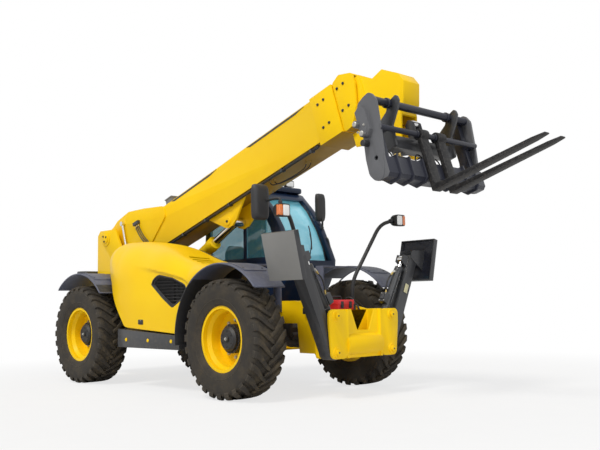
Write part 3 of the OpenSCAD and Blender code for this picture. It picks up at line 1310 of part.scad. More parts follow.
module cab_dash() color(dark) home() translate([0, cab_mid_y, 0]) {
    block([dash_x, -dash_w / 2, dash_z], [dash_x + dash_l, dash_w / 2, dash_z + dash_h]);
    translate([dash_x + dash_l / 2, 0, dash_z + dash_h - over]) rotate([0, -column_lean, 0]) {
        cylinder(r = column_r, h = column_l);
        translate([0, 0, column_l]) {
            rotate_extrude() translate([wheel_ring_r, 0]) circle(r = wheel_grip_r);
            for (k = [1 : spokes]) rotate([0, 0, k * 2 * half_turn / spokes])
                rod([0, 0, 0], [wheel_ring_r, 0, 0], wheel_grip_r * spoke_share);
            translate([0, 0, -wheel_grip_r]) cylinder(r = column_r * boss_share, h = 2 * wheel_grip_r);
        }
    }
    block([dash_x, -dash_w / 3, cab_low_z + cab_wall],
        [dash_x + dash_l / 2, dash_w / 3, dash_z + over]);
}
module fuel_tank() color(dark) home() difference() {
    block([tank_from, frame_out, tank_low], [tank_to, tank_out, tank_high]);
    for (k = [0, 1]) translate([k * step_h / 2, 0, k * step_h * step_rise_share])
        block([-step_l / 2, tank_out - step_d, tank_low + step_h / 2],
            [step_l / 2, tank_out + over, tank_low + step_h * step_top_share]);
}

// Lamps, mirrors and boxes

post_path = [[nose_x - post_foot_back, post_foot_y, post_foot_low],
    [nose_x - post_foot_back + post_r, post_foot_y, post_foot_low + box_l],
    [nose_x - post_knee_back, post_knee_y, post_knee_z], [nose_x - lamp_back, lamp_y - lamp_w / 2, lamp_z]];
lamp_x = nose_x - lamp_back;
module lamp_body(x, in_x, in_yz) block([lamp_x + x, lamp_y - lamp_w / 2 + in_yz, lamp_z - lamp_h / 2 + in_yz],
    [lamp_x + lamp_d / 2 + in_x, lamp_y + lamp_w / 2 - in_yz, lamp_z + lamp_h / 2 - in_yz]);
module lamp_posts() color(black) home() {
    translate([cab_rear_x + cab_l * roof_lamp_share, cab_out_y - lamp_w * 2, cab_top_z])
        cube([lamp_d * lamp_small_share, lamp_w, lamp_h * lamp_small_share]);
    both() {
        pipe(post_path, post_r);
        block([post_path[0][0] - post_r * 2, frame_out, post_foot_low - post_r],
            [post_path[0][0] + post_r * 2, post_foot_y + post_r, post_foot_low + post_r * 2]);
        difference() {
            lamp_body(-lamp_d / 2, 0, 0);
            lamp_body(lamp_d / 2 - lens_t, over, lens_in);
        }
    }
}
module lamp_lenses() color(clear) home() both() lamp_body(lamp_d / 2 - lens_t, 0, lens_in + seat);
module mirror_head(x, y, z, w, h) translate([x, y, z]) ahead(-mirror_t / 2, mirror_t / 2)
    polygon(soft([[-w / 2, -h / 2], [w / 2, -h / 2], [w / 2, h / 2], [-w / 2, h / 2]], pillar / 2));
module mirrors() color(black) home() {
    mirror_head(nose_x - mirror_back, -mirror_y, mirror_z, mirror_w, mirror_h);
    pipe([[nose_x - lamp_back, -lamp_y, lamp_z + lamp_h / 2 + seat],
        [nose_x - lamp_back, -lamp_y, lamp_z + lamp_h],
        [nose_x - mirror_back, -mirror_y + mirror_w / 4, mirror_z + mirror_arm_r]], mirror_arm_r);
    mirror_head(cab_mirror_x, cab_mirror_y, cab_mirror_z, cab_mirror_w, mirror_h);
    pipe([flat_y(cab_pt(mirror_root_share) + mirror_root_out * (mirror_arm_r + seat), cab_mirror_y),
        [cab_mirror_x + mirror_arm_r * 2, cab_mirror_y, cab_mirror_z - mirror_h / 2],
        [cab_mirror_x, cab_mirror_y, cab_mirror_z]],
        mirror_arm_r);
}
box_floor = frame_front_low + belly_t + box_lift;
module tool_box() color(red) home() difference() {
    union() {
        block([nose_x - box_l, -box_w / 2, box_floor],
            [nose_x - bulkhead_t - run, box_w / 2, box_floor + box_tall]);
        block([nose_x - box_l - lid_over, -box_w / 2 - lid_over, box_floor + box_tall - over],
            [nose_x - bulkhead_t - run + lid_over, box_w / 2 + lid_over, box_floor + box_tall + lid_h]);
    }
    for (s = [-1, 1]) translate([nose_x - box_l / 2, s * box_w / 4, box_floor + box_tall + lid_h / 2])
        block([-box_l / 4, -lid_slot / 2, 0], [box_l / 4, lid_slot / 2, lid_h]);
}

main_frame();
counterweight();
tow_hitch();
front_axle();
rear_axle();
drive_line();
front_frame();
tool_box();
engine();
engine_bay();
side_sill();
fuel_tank();
front_fenders();
rear_fenders();
cab_shell();
cab_roof();
cab_glass();
cab_seat();
cab_dash();
lamp_posts();
lamp_lenses();
mirrors();
door_frame();
door_glass();
engine_hood();
hood_grille();
boom_outer();
boom_tray();
boom_middle();
boom_inner();
tilt_barrel();
tilt_rod();
coupler();
fork_frame();
forks();
lift_barrel();
lift_rod();
comp_barrel();
comp_rod();
leg_left();
leg_right();
stab_barrel_left();
stab_barrel_right();
stab_rod_left();
stab_rod_right();
knuckle_front_left();
knuckle_front_right();
knuckle_rear_left();
knuckle_rear_right();
rim_front_left();
rim_front_right();
rim_rear_left();
rim_rear_right();
tyre_front_left();
tyre_front_right();
tyre_rear_left();
tyre_rear_right();
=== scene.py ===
import json
import math

import bmesh
import bpy
from mathutils import Matrix, Vector


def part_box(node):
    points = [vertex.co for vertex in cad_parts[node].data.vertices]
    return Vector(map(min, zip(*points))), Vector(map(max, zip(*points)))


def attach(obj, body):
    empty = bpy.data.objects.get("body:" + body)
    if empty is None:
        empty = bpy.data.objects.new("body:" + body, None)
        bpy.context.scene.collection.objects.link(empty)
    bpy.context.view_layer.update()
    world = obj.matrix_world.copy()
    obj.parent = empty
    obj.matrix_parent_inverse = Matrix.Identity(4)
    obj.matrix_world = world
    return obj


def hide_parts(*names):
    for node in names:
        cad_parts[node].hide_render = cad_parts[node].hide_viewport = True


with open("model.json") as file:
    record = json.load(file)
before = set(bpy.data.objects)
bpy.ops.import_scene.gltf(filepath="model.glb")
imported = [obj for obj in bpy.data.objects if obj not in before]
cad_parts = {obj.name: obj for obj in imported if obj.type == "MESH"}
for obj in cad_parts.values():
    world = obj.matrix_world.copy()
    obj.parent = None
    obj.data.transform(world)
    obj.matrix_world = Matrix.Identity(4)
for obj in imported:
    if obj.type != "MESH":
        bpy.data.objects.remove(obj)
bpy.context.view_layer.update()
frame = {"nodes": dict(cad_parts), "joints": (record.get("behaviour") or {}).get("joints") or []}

scene = bpy.context.scene
nodes = frame["nodes"]
joints = {joint["name"]: joint for joint in frame["joints"]}
UP = Vector((0, 0, 1))


# Places, all worked out from the frame

def middle(node):
    low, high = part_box(node)
    return (low + high) / 2


def half(node):
    low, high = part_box(node)
    return (high - low) / 2


FRONT_X = middle("tyre_front_left").x
REAR_X = middle("tyre_rear_left").x
HOME = (FRONT_X + REAR_X) / 2
FRONT_REACH = FRONT_X - HOME
AXLE_Z = middle("tyre_front_left").z
WHEEL_Y = middle("tyre_front_left").y
TYRE_R = half("tyre_front_left").z
TYRE_HALF = half("tyre_front_left").y
GROUND = Matrix.Translation((HOME, 0, 0))
PIVOT = Vector(joints["boom_lift"]["pos_m"])
REACH = Vector(joints["boom_extend"]["axis"]).normalized()
SLOPE = math.atan2(REACH.z, REACH.x)
BOOM = Matrix.Translation(PIVOT) @ Matrix.Rotation(-SLOPE, 4, "Y")
SIDES = (("left", 1), ("right", -1))
ENDS = (("front", FRONT_X), ("rear", REAR_X))
CORNERS = {end + "_" + side: (x, s) for end, x in ENDS for side, s in SIDES}


def joint_spot(name):
    """A joint's place in the axes of GROUND, where x starts half way between the axles."""
    return Vector(joints[name]["pos_m"]) - GROUND.translation


# Camera

def aim_camera():
    """The photograph's camera, solved from points of it."""
    place = Vector((8.046 + HOME, -6.191, 0.983))
    yaw, pitch, roll = 2.383, 0.096, -0.017
    focal_pixels, frame_pixels, sensor = 802.18, 600, 36
    ahead = Vector((math.cos(yaw) * math.cos(pitch), math.sin(yaw) * math.cos(pitch), math.sin(pitch)))
    level = ahead.cross(UP).normalized()
    top = level.cross(ahead)
    right = level * math.cos(roll) + top * math.sin(roll)
    upright = top * math.cos(roll) - level * math.sin(roll)
    camera = bpy.data.objects.new("camera", bpy.data.cameras.new("camera"))
    camera.matrix_world = Matrix((right, upright, -ahead)).transposed().to_4x4()
    camera.location = place
    camera.data.sensor_width = sensor
    camera.data.lens = sensor * focal_pixels / frame_pixels
    camera.data.clip_end = 200
    scene.collection.objects.link(camera)
    scene.camera = camera


# Shader nodes

class Value:
    """A socket that takes part in Python sums."""

    def __init__(self, look, socket):
        self.look = look
        self.socket = socket

    def math(self, operation, *others):
        sockets = dict(enumerate((self, *others)))
        return self.look.node("ShaderNodeMath", {"operation": operation}, sockets)

    def reflected(self, operation, other):
        return self.look.node("ShaderNodeMath", {"operation": operation}, {0: other, 1: self})

    def __add__(self, other):
        return self.math("ADD", other)

    def __radd__(self, other):
        return self.reflected("ADD", other)

    def __sub__(self, other):
        return self.math("SUBTRACT", other)

    def __rsub__(self, other):
        return self.reflected("SUBTRACT", other)

    def __mul__(self, other):
        return self.math("MULTIPLY", other)

    def __rmul__(self, other):
        return self.reflected("MULTIPLY", other)

    def clip(self, low, high):
        """Rises from 0 at low to 1 at high, and stays there."""
        return self.look.node("ShaderNodeMapRange", {"interpolation_type": "SMOOTHSTEP"},
                              {"Value": self, "From Min": low, "From Max": high})


class Look:
    """One material, floor or world: node() adds any node and hands back one output."""

    def __init__(self, name, owner=None):
        self.owner = owner or bpy.data.materials.new(name)
        self.owner.use_nodes = True
        self.tree = self.owner.node_tree
        self.skin = self.tree.nodes.get("Principled BSDF")

    def feed(self, socket, value):
        if isinstance(value, Value):
            self.tree.links.new(value.socket, socket)
        elif socket.type == "RGBA":
            socket.default_value = (*value[:3], 1)
        else:
            socket.default_value = value

    def node(self, kind, settings=None, sockets=None, out=0):
        made = self.tree.nodes.new(kind)
        for key, value in (settings or {}).items():
            setattr(made, key, value)
        for key, value in (sockets or {}).items():
            self.feed(made.inputs[key], value)
        return Value(self, made.outputs[out])

    def where(self):
        """Places on the piece, in the piece's own axes."""
        return self.node("ShaderNodeTexCoord", out=3)

    def axis(self, number):
        return self.node("ShaderNodeSeparateXYZ", None, {0: self.where()}, number)

    def upward(self):
        """1 on what faces the sky, 0 on walls and below."""
        normal = self.node("ShaderNodeNewGeometry", out=1)
        return self.node("ShaderNodeSeparateXYZ", None, {0: normal}, 2).clip(0.2, 0.95)

    def noise(self, scale, detail=3.0, rough=0.55):
        return self.node("ShaderNodeTexNoise", None,
                         {"Vector": self.where(), "Scale": scale, "Detail": detail, "Roughness": rough})

    def cells(self, scale):
        return self.node("ShaderNodeTexVoronoi", None, {"Vector": self.where(), "Scale": scale})

    def waves(self, direction, scale):
        return self.node("ShaderNodeTexWave", {"bands_direction": direction},
                         {"Vector": self.where(), "Scale": scale})

    def mix(self, a, b, share):
        return self.node("ShaderNodeMix", {"data_type": "RGBA"}, {0: share, 6: a, 7: b}, 2)

    def edges(self, radius):
        """1 on worn corners, 0 on flats."""
        soft = self.node("ShaderNodeBevel", {"samples": 4}, {"Radius": radius})
        hard = self.node("ShaderNodeNewGeometry", out=1)
        along = self.node("ShaderNodeVectorMath", {"operation": "DOT_PRODUCT"}, {0: soft, 1: hard}, 1)
        return (1 - along).clip(0.02, 0.25)

    def bump(self, height, distance, strength=1.0):
        return self.node("ShaderNodeBump", None, {"Height": height, "Distance": distance,
                                                  "Strength": strength})

    def finish(self, **sockets):
        """Sets the shader's sockets; base_color stands for Base Color, and so on."""
        names = {"coat": "Coat Weight", "coat_rough": "Coat Roughness", "glow": "Emission Color",
                 "specular": "Specular IOR Level"}
        for key, value in sockets.items():
            self.feed(self.skin.inputs[names.get(key) or key.replace("_", " ").title()], value)
        return self.owner


# Light and floor

def add_light(name, kind, toward, place=(0, 0, 0), **settings):
    """A lamp; toward points from what it lights to where its light comes from."""
    light = bpy.data.lights.new(name, kind)
    for key, value in settings.items():
        setattr(light, key, value)
    lamp = bpy.data.objects.new(name, light)
    lamp.location = place
    lamp.rotation_euler = toward.to_track_quat("Z", "Y").to_euler()
    scene.collection.objects.link(lamp)


def light_studio():
    """A pale world that shows brighter than it lights, a soft sun from the right and a far, wide fill."""
    ambient, in_gloss = 0.34, 0.75
    world = Look("studio", bpy.data.worlds.new("studio"))
    scene.world = world.owner
    back = world.tree.nodes["Background"]
    seen, gloss, through = [world.node("ShaderNodeLightPath", out=ray)
                            for ray in ("Is Camera Ray", "Is Glossy Ray", "Is Transmission Ray")]
    shown = (seen + gloss * in_gloss + through).math("MINIMUM", 1.0)
    world.feed(back.inputs["Strength"], ambient + shown * (1 - ambient))
    world.feed(back.inputs["Color"], (1.0, 1.0, 1.0))
    add_light("key", "SUN", Vector((0.12, -0.62, 0.78)), energy=2.02, angle=math.radians(16),
              color=(1.0, 0.975, 0.93))
    lit, place = Vector((HOME, 0, 1.2)), Vector((27 + HOME, -9, 12.6))
    add_light("fill", "AREA", place - lit, place, energy=2200, size=18)


def lay_floor():
    """A pale floor that fades to white away from the machine."""
    side, near, far, near_white = 60, 6.0, 60.0, 0.72
    mesh = bpy.data.meshes.new("floor")
    corners = [(-side, -side, 0), (side, -side, 0), (side, side, 0), (-side, side, 0)]
    mesh.from_pydata(corners, [], [(0, 1, 2, 3)])
    floor = bpy.data.objects.new("floor", mesh)
    scene.collection.objects.link(floor)
    look = Look("pale_floor")
    grain = look.noise(3.0, 5)
    colour = look.mix((0.74, 0.74, 0.75), (0.80, 0.80, 0.80), grain)
    look.finish(base_color=colour, roughness=0.8, specular=0.1)
    white = look.node("ShaderNodeEmission", None, {"Color": (1, 1, 1), "Strength": 1.0})
    away = (look.axis(0) * look.axis(0) + look.axis(1) * look.axis(1)).clip(near, far)
    seen = look.node("ShaderNodeLightPath", out="Is Camera Ray") * (near_white + away * (1 - near_white))
    skin = Value(look, look.skin.outputs[0])
    blend = look.node("ShaderNodeMixShader", None, {0: seen, 1: skin, 2: white})
    look.feed(look.tree.nodes["Material Output"].inputs["Surface"], blend)
    mesh.materials.append(look.owner)


# Finishes

ROAD_DUST = (0.42, 0.36, 0.26)
PALE_DUST = (0.40, 0.37, 0.32)
DRY_EARTH = (0.145, 0.112, 0.066)


def paint(name, colour, deep, rough, coat, dust=0.25, shine=0.5):
    """Sprayed paint: slow drift of shade, orange peel, dust on top and low down, bright worn edges."""
    look = Look(name)
    drift = look.noise(1.1, 4)
    peel = look.noise(420, 2)
    low = 1 - look.axis(2).clip(0.2, 1.1)
    speck = look.noise(26, 5, 0.7).clip(0.42, 0.8)
    settled = (look.upward() * 0.5 + low * 0.5) * speck * dust
    worn = look.edges(0.006) * look.noise(60, 4).clip(0.4, 0.7)
    shade = look.mix(colour, deep, drift.clip(0.3, 0.75))
    shade = look.mix(shade, ROAD_DUST, settled)
    shade = look.mix(shade, [min(1, c * 1.25 + 0.05) for c in colour], worn * 0.35)
    return look.finish(base_color=shade, roughness=rough + settled * 0.4 + worn * 0.1 + drift * 0.05,
                       normal=look.bump(peel, 0.0006, 0.25), coat=coat, coat_rough=0.06, specular=shine)


def moulded(name, colour, rough, grain_scale=380, grain=0.0012, dust=0.2):
    """Moulded plastic with a leathery grain and dust on what faces up."""
    look = Look(name)
    grit = look.cells(grain_scale)
    cloud = look.noise(2.5, 5)
    settled = look.upward() * look.noise(18, 5, 0.7).clip(0.4, 0.8) * dust
    shade = look.mix(colour, [c * 0.72 for c in colour], cloud.clip(0.3, 0.7))
    shade = look.mix(shade, PALE_DUST, settled)
    return look.finish(base_color=shade, roughness=rough + cloud * 0.12 + settled * 0.3,
                       normal=look.bump(grit, grain, 0.5))


def rubber():
    """Tyre rubber, brown with dry earth that lies thickest across the tread."""
    look = Look("tyre_rubber")
    fine = look.noise(120, 5, 0.7)
    patch = look.noise(7, 5, 0.65)
    across = (look.axis(1).math("ABSOLUTE") - WHEEL_Y).math("ABSOLUTE")
    tread = 1 - across.clip(TYRE_HALF * 0.72, TYRE_HALF * 0.98)
    earth = (patch.clip(0.38, 0.72) * 0.55 + fine.clip(0.45, 0.75) * 0.25) * (0.35 + tread * 0.65)
    worn = look.edges(0.007)
    shade = look.mix((0.034, 0.029, 0.023), (0.021, 0.019, 0.017), fine)
    shade = look.mix(shade, DRY_EARTH, earth)
    shade = look.mix(shade, (0.12, 0.10, 0.072), worn * 0.5)
    return look.finish(base_color=shade, roughness=0.72 + earth * 0.2 - worn * 0.15,
                       normal=look.bump(fine, 0.004, 0.45), specular=0.35)


def cast_iron():
    """Bare castings with oily patches and dust on top."""
    look = Look("cast_iron")
    grit = look.noise(140, 6, 0.75)
    patch = look.noise(3, 4)
    oil = look.noise(9, 4).clip(0.5, 0.75)
    shade = look.mix((0.026, 0.026, 0.028), (0.05, 0.046, 0.042), patch)
    shade = look.mix(shade, (0.10, 0.085, 0.066), look.upward() * grit.clip(0.4, 0.7) * 0.5)
    return look.finish(base_color=shade, roughness=0.6 - oil * 0.22, normal=look.bump(grit, 0.004, 0.5),
                       metallic=0.25)


def bright_rod():
    """Hard chrome with fine turning marks and a film of oil."""
    look = Look("chrome_rod")
    marks = look.noise(900, 2)
    film = look.noise(14, 4).clip(0.4, 0.8)
    shade = look.mix((0.78, 0.79, 0.80), (0.60, 0.59, 0.56), film)
    return look.finish(base_color=shade, roughness=0.10 + film * 0.14 + marks * 0.04, metallic=1.0,
                       normal=look.bump(marks, 0.0003, 0.3))


def forged():
    """Forged fork steel: dark scale, rubbed bright on its edges."""
    look = Look("forged_steel")
    scale = look.noise(34, 6, 0.7)
    rub = look.edges(0.008) * look.noise(40, 4).clip(0.35, 0.65)
    shade = look.mix((0.020, 0.020, 0.022), (0.055, 0.052, 0.050), scale.clip(0.4, 0.7))
    shade = look.mix(shade, (0.30, 0.29, 0.28), rub * 0.7)
    return look.finish(base_color=shade, roughness=0.42 + scale * 0.25 - rub * 0.12, metallic=0.55,
                       normal=look.bump(scale, 0.003, 0.4))


def pane(name, tint, clear, sky=(0, 0, 0)):
    """Tinted safety glass with a faint film of dust; sky is a painted glow that stands in for the sky light
    seen in the glass.
    """
    look = Look(name)
    film = look.noise(5, 5, 0.65).clip(0.45, 0.85)
    shade = look.mix(tint, (0.62, 0.72, 0.74), film * 0.5)
    return look.finish(base_color=shade, roughness=0.02 + film * 0.07, alpha=clear + film * 0.10,
                       coat=1.0, coat_rough=0.02, glow=sky, emission_strength=1.0)


def lamp_face(name, tint, ribs, bowl=0.12):
    """A pressed lens: ribs, and a painted glow that stands in for light reflected from the bowl behind it;
    bowl sets its strength.
    """
    look = Look(name)
    wave = look.waves("Y", ribs)
    spot = look.cells(30)
    shade = look.mix(tint, [c * 0.6 for c in tint], (wave * 0.5 + spot * 6).clip(0.2, 0.9))
    # Painted reflection: an emitted glow in the lens's tint that follows the ribs.
    lit = look.mix([c * bowl for c in tint], [c * bowl * 0.3 for c in tint], wave)
    return look.finish(base_color=shade, roughness=0.06 + wave * 0.06, coat=1.0, coat_rough=0.03, glow=lit,
                       emission_strength=1.0, normal=look.bump(wave, 0.002, 0.5))


def fabric():
    """Woven seat cloth."""
    look = Look("seat_cloth")
    thread = look.waves("X", 160) * 0.5 + look.waves("Z", 160) * 0.5
    shade = look.mix((0.020, 0.021, 0.024), (0.065, 0.066, 0.072), thread)
    return look.finish(base_color=shade, roughness=0.85 - thread * 0.1, normal=look.bump(thread, 0.0015, 0.6),
                       sheen_weight=0.3)


def plated(name, colour):
    """Zinc or brass plating on fittings and bolts."""
    look = Look(name)
    blotch = look.noise(45, 5, 0.7)
    shade = look.mix(colour, [c * 0.5 for c in colour], blotch.clip(0.4, 0.75))
    return look.finish(base_color=shade, roughness=0.3 + blotch * 0.3, metallic=0.9,
                       normal=look.bump(blotch, 0.0015, 0.3))


def hose_rubber():
    """Braided hose with dust on it."""
    look = Look("hose_rubber")
    braid = look.waves("DIAGONAL", 90)
    dust = look.noise(30, 4).clip(0.45, 0.8)
    shade = look.mix((0.018, 0.018, 0.019), (0.10, 0.09, 0.075), dust * 0.4)
    return look.finish(base_color=shade, roughness=0.55 + dust * 0.2, normal=look.bump(braid, 0.001, 0.4))


def silvered():
    """Mirror glass with a faint film."""
    look = Look("mirror_glass")
    film = look.noise(12, 5).clip(0.5, 0.9)
    return look.finish(base_color=look.mix((0.85, 0.88, 0.90), (0.6, 0.62, 0.62), film),
                       roughness=0.02 + film * 0.08, metallic=1.0)


YELLOW = paint("gloss_yellow", (0.98, 0.645, 0.004), (0.95, 0.59, 0.003), 0.36, 0.05, 0.08, 0.18)
# Painted shade: a dark brownish yellow that stands in for the shade under the boom.
UNDERSIDE_SHADE = paint("yellow_painted_underside_shade", (0.44, 0.26, 0.010), (0.27, 0.15, 0.010), 0.50, 0.02, 0.20, 0.25)
BLACK = paint("satin_black", (0.040, 0.042, 0.047), (0.030, 0.031, 0.035), 0.40, 0.25, 0.30)
GREY = paint("frame_grey", (0.105, 0.108, 0.118), (0.085, 0.087, 0.096), 0.42, 0.2, 0.25)
NAVY = paint("bar_navy", (0.019, 0.021, 0.034), (0.014, 0.016, 0.026), 0.40, 0.15, 0.15, 0.35)
PAD = paint("foot_grey", (0.215, 0.215, 0.209), (0.17, 0.17, 0.166), 0.5, 0.1, 0.3)
CAB = paint("cab_blue_black", (0.009, 0.024, 0.066), (0.006, 0.014, 0.040), 0.28, 0.14, 0.06, 0.25)
SLATE = moulded("slate_plastic", (0.104, 0.116, 0.170), 0.42)
PLASTIC = moulded("black_plastic", (0.022, 0.022, 0.024), 0.45)
TRIM = moulded("cab_trim", (0.060, 0.062, 0.066), 0.6, 500)
RED = moulded("red_plastic", (0.82, 0.035, 0.042), 0.35, 500, 0.0006)
RUBBER = rubber()
IRON = cast_iron()
CHROME = bright_rod()
FORGED = forged()
# Both panes carry a painted glow that stands in for sky light in the glass.
GLASS = pane("cab_pane", (0.26, 0.72, 0.86), 0.46, (0.055, 0.19, 0.24))
# Painted shade: the side pane is a darker copy of the same glass, with a weaker painted glow.
GLASS_SHADED_SIDE = pane("side_pane_painted_shade", (0.10, 0.27, 0.31), 0.40, (0.012, 0.042, 0.052))
GLASS_DARK = pane("display_glass", (0.010, 0.014, 0.018), 1.0)
PLATE = moulded("blank_plate", (0.74, 0.70, 0.44), 0.45, 600, 0.0004)
# All three lenses carry a painted reflection of their bowls as a glow.
CLEAR = lamp_face("clear_lens", (0.92, 0.93, 0.92), 40, 0.5)
AMBER = lamp_face("amber_lens", (0.96, 0.22, 0.012), 60, 0.3)
RUBY = lamp_face("red_lens", (0.60, 0.015, 0.015), 60)
CLOTH = fabric()
ZINC = plated("zinc_plate", (0.55, 0.54, 0.50))
BRASS = plated("yellow_zinc", (0.62, 0.46, 0.16))
HOSE = hose_rubber()
MIRROR = silvered()


# Making pieces

SHARP_ANGLE = math.radians(32)
EASE_ANGLE = math.radians(35)


def edge_shading():
    """Geometry nodes that shade smooth, and leave edges over the sharp angle as they are."""
    group = bpy.data.node_groups.new("edge_shading", "GeometryNodeTree")
    group.interface.new_socket("Geometry", in_out="INPUT", socket_type="NodeSocketGeometry")
    group.interface.new_socket("Geometry", in_out="OUTPUT", socket_type="NodeSocketGeometry")
    start = group.nodes.new("NodeGroupInput")
    end = group.nodes.new("NodeGroupOutput")
    faces = group.nodes.new("GeometryNodeSetShadeSmooth")
    sharp = group.nodes.new("GeometryNodeSetShadeSmooth")
    sharp.domain = "EDGE"
    sharp.inputs["Shade Smooth"].default_value = False
    angle = group.nodes.new("GeometryNodeInputMeshEdgeAngle")
    over = group.nodes.new("FunctionNodeCompare")
    over.operation = "GREATER_THAN"
    over.inputs[1].default_value = SHARP_ANGLE
    group.links.new(start.outputs[0], faces.inputs["Geometry"])
    group.links.new(faces.outputs[0], sharp.inputs["Geometry"])
    group.links.new(angle.outputs["Unsigned Angle"], over.inputs[0])
    group.links.new(over.outputs[0], sharp.inputs["Selection"])
    group.links.new(sharp.outputs[0], end.inputs[0])
    return group


SHADING = edge_shading()


def shade(piece):
    piece.modifiers.new("shading", "NODES").node_group = SHADING


def ease(piece, width):
    """Rounds the piece's sharp edges."""
    bevel = piece.modifiers.new("ease", "BEVEL")
    bevel.width = width
    bevel.segments = 2
    bevel.limit_method = "ANGLE"
    bevel.angle_limit = EASE_ANGLE


def settle(piece):
    """Keeps the shape that the modifiers give, and drops the modifiers."""
    graph = bpy.context.evaluated_depsgraph_get()
    mesh = bpy.data.meshes.new_from_object(piece.evaluated_get(graph))
    old = piece.data
    piece.modifiers.clear()
    piece.data = mesh
    bpy.data.meshes.remove(old)


SEATS = {"x": lambda p, d: (d, p[0], p[1]),
         "y": lambda p, d: (p[0], d, p[1]),
         "z": lambda p, d: (p[0], p[1], d)}


def turns(count, first=0):
    """Equal angles round a circle; first is the share of a step that the first one starts at."""
    return [2 * math.pi * (k + first) / count for k in range(count)]


def rounded(centre, wide, tall, power, steps=32):
    """A closed outline between an ellipse and a rectangle, with its half width and half height."""
    outline = []
    for a in turns(steps, 0.5):
        c, d = math.cos(a), math.sin(a)
        outline.append((centre[0] + wide * math.copysign(abs(c) ** (2 / power), c),
                        centre[1] + tall * math.copysign(abs(d) ** (2 / power), d)))
    return outline


def bent(points, radius, steps=7):
    """A path with its corners rounded."""
    p = [Vector(q) for q in points]
    path = [p[0]]
    for before, corner, after in zip(p, p[1:], p[2:]):
        start, end = before - corner, after - corner
        a = corner + start.normalized() * min(radius, start.length * 0.48)
        b = corner + end.normalized() * min(radius, end.length * 0.48)
        for k in range(steps + 1):
            t = k / steps
            path.append(a * (1 - t) ** 2 + corner * 2 * t * (1 - t) + b * t ** 2)
    return path + [p[-1]]


def disc(radius, tall, *crown):
    """The profile of a turned disc, with the height and radius of its bevelled end where they are given."""
    return [(0, radius), (tall, radius)] + ([crown] if crown else [])


class Shape:
    """Gathers the points and faces of one piece, in metres, in the axes of its place."""

    def __init__(self, place=GROUND):
        self.place = place
        self.points = []
        self.faces = []
        self.marks = []

    def add(self, points, faces, mark=0):
        start = len(self.points)
        self.points += [self.place @ Vector(p) for p in points]
        self.faces += [[start + i for i in face] for face in faces]
        self.marks += [mark] * len(faces)

    def rings(self, rows, mark=0, loop=True, capped=True):
        """Skins equal rows of points, each a closed ring where loop is true."""
        n = len(rows[0])
        last = n if loop else n - 1
        faces = [(r * n + i, r * n + (i + 1) % n, (r + 1) * n + (i + 1) % n, (r + 1) * n + i)
                 for r in range(len(rows) - 1) for i in range(last)]
        if capped and loop:
            faces += [tuple(range(n)), tuple(range((len(rows) - 1) * n, len(rows) * n))]
        self.add([p for row in rows for p in row], faces, mark)

    def slab(self, outline, low, high, along="y", mark=0):
        """A closed outline pulled from low to high along an axis."""
        self.rings([[SEATS[along](p, d) for p in outline] for d in (low, high)], mark)

    def box(self, low, high, mark=0):
        self.slab([(low[0], low[2]), (high[0], low[2]), (high[0], high[2]), (low[0], high[2])],
                  low[1], high[1], "y", mark)

    def loft(self, along, centre, stations, mark=0):
        """Skins rounded outlines: distance, half width, half height, power and any move off the centre."""
        rows = []
        for distance, wide, tall, power, *move in stations:
            spot = [c + m for c, m in zip(centre, move or (0, 0))]
            rows.append([SEATS[along](p, distance) for p in rounded(spot, wide, tall, power)])
        self.rings(rows, mark)

    def turned(self, profile, centre, axis, steps=32, mark=0, hollow=False):
        """A profile of (distance along the axis, radius) pairs turned about the axis."""
        axis = Vector(axis).normalized()
        side = axis.orthogonal().normalized()
        top = axis.cross(side)
        spokes = [side * math.cos(a) + top * math.sin(a) for a in turns(steps)]
        rows = [[Vector(centre) + axis * d + spoke * r for spoke in spokes] for d, r in profile]
        self.rings(rows + ([rows[0]] if hollow else []), mark, capped=not hollow)

    def tube(self, path, radius, steps=12, mark=0):
        """A round tube that follows the points of path."""
        path = [Vector(p) for p in path]
        side = (path[1] - path[0]).orthogonal().normalized()
        rows = []
        for i, p in enumerate(path):
            ahead = (path[min(i + 1, len(path) - 1)] - path[max(i - 1, 0)]).normalized()
            side = (side - ahead * side.dot(ahead)).normalized()
            top = ahead.cross(side)
            rows.append([p + (side * math.cos(a) + top * math.sin(a)) * radius for a in turns(steps)])
        self.rings(rows, mark)

    def pipe(self, points, bend, radius, steps=12, mark=0):
        """A tube whose corners are bent to a radius."""
        self.tube(bent(points, bend), radius, steps, mark)

    def bolt(self, spot, axis, radius, mark=0):
        """A hexagon head on its washer."""
        axis = Vector(axis).normalized()
        washer = disc(radius * 1.25, radius * 0.22, radius * 0.25, radius * 1.2)
        head = disc(radius, radius * 0.62, radius * 0.75, radius * 0.82)
        self.turned(washer, spot, axis, 20, mark)
        self.turned(head, Vector(spot) + axis * radius * 0.24, axis, 6, mark)

    def make(self, name, body, *looks, round_edge=0.003, replaces=(), slot=None):
        """Turns what was gathered into a piece that rides on a body; each mark picks one of the looks."""
        mesh = bpy.data.meshes.new(name)
        mesh.from_pydata(self.points, [], self.faces)
        for look in looks:
            mesh.materials.append(look)
        mesh.polygons.foreach_set("material_index", self.marks)
        work = bmesh.new()
        work.from_mesh(mesh)
        bmesh.ops.recalc_face_normals(work, faces=work.faces)
        work.to_mesh(mesh)
        work.free()
        piece = bpy.data.objects.new(name, mesh)
        scene.collection.objects.link(piece)
        if round_edge:
            ease(piece, round_edge)
        shade(piece)
        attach(piece, body)
        if replaces:
            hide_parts(*replaces)
        return piece


def smooth_path(points, steps):
    """A smooth curve through the points, with a number of steps between each two."""
    p = [Vector(q) for q in points]
    p = [p[0] * 2 - p[1]] + p + [p[-1] * 2 - p[-2]]
    path = []
    for i in range(1, len(p) - 2):
        for k in range(steps):
            t = k / steps
            a, b, c, d = p[i - 1:i + 3]
            path.append((b * 2 + (c - a) * t + (a * 2 - b * 5 + c * 4 - d) * t ** 2
                         + (b * 3 - a - c * 3 + d) * t ** 3) / 2)
    return path + [p[-2]]


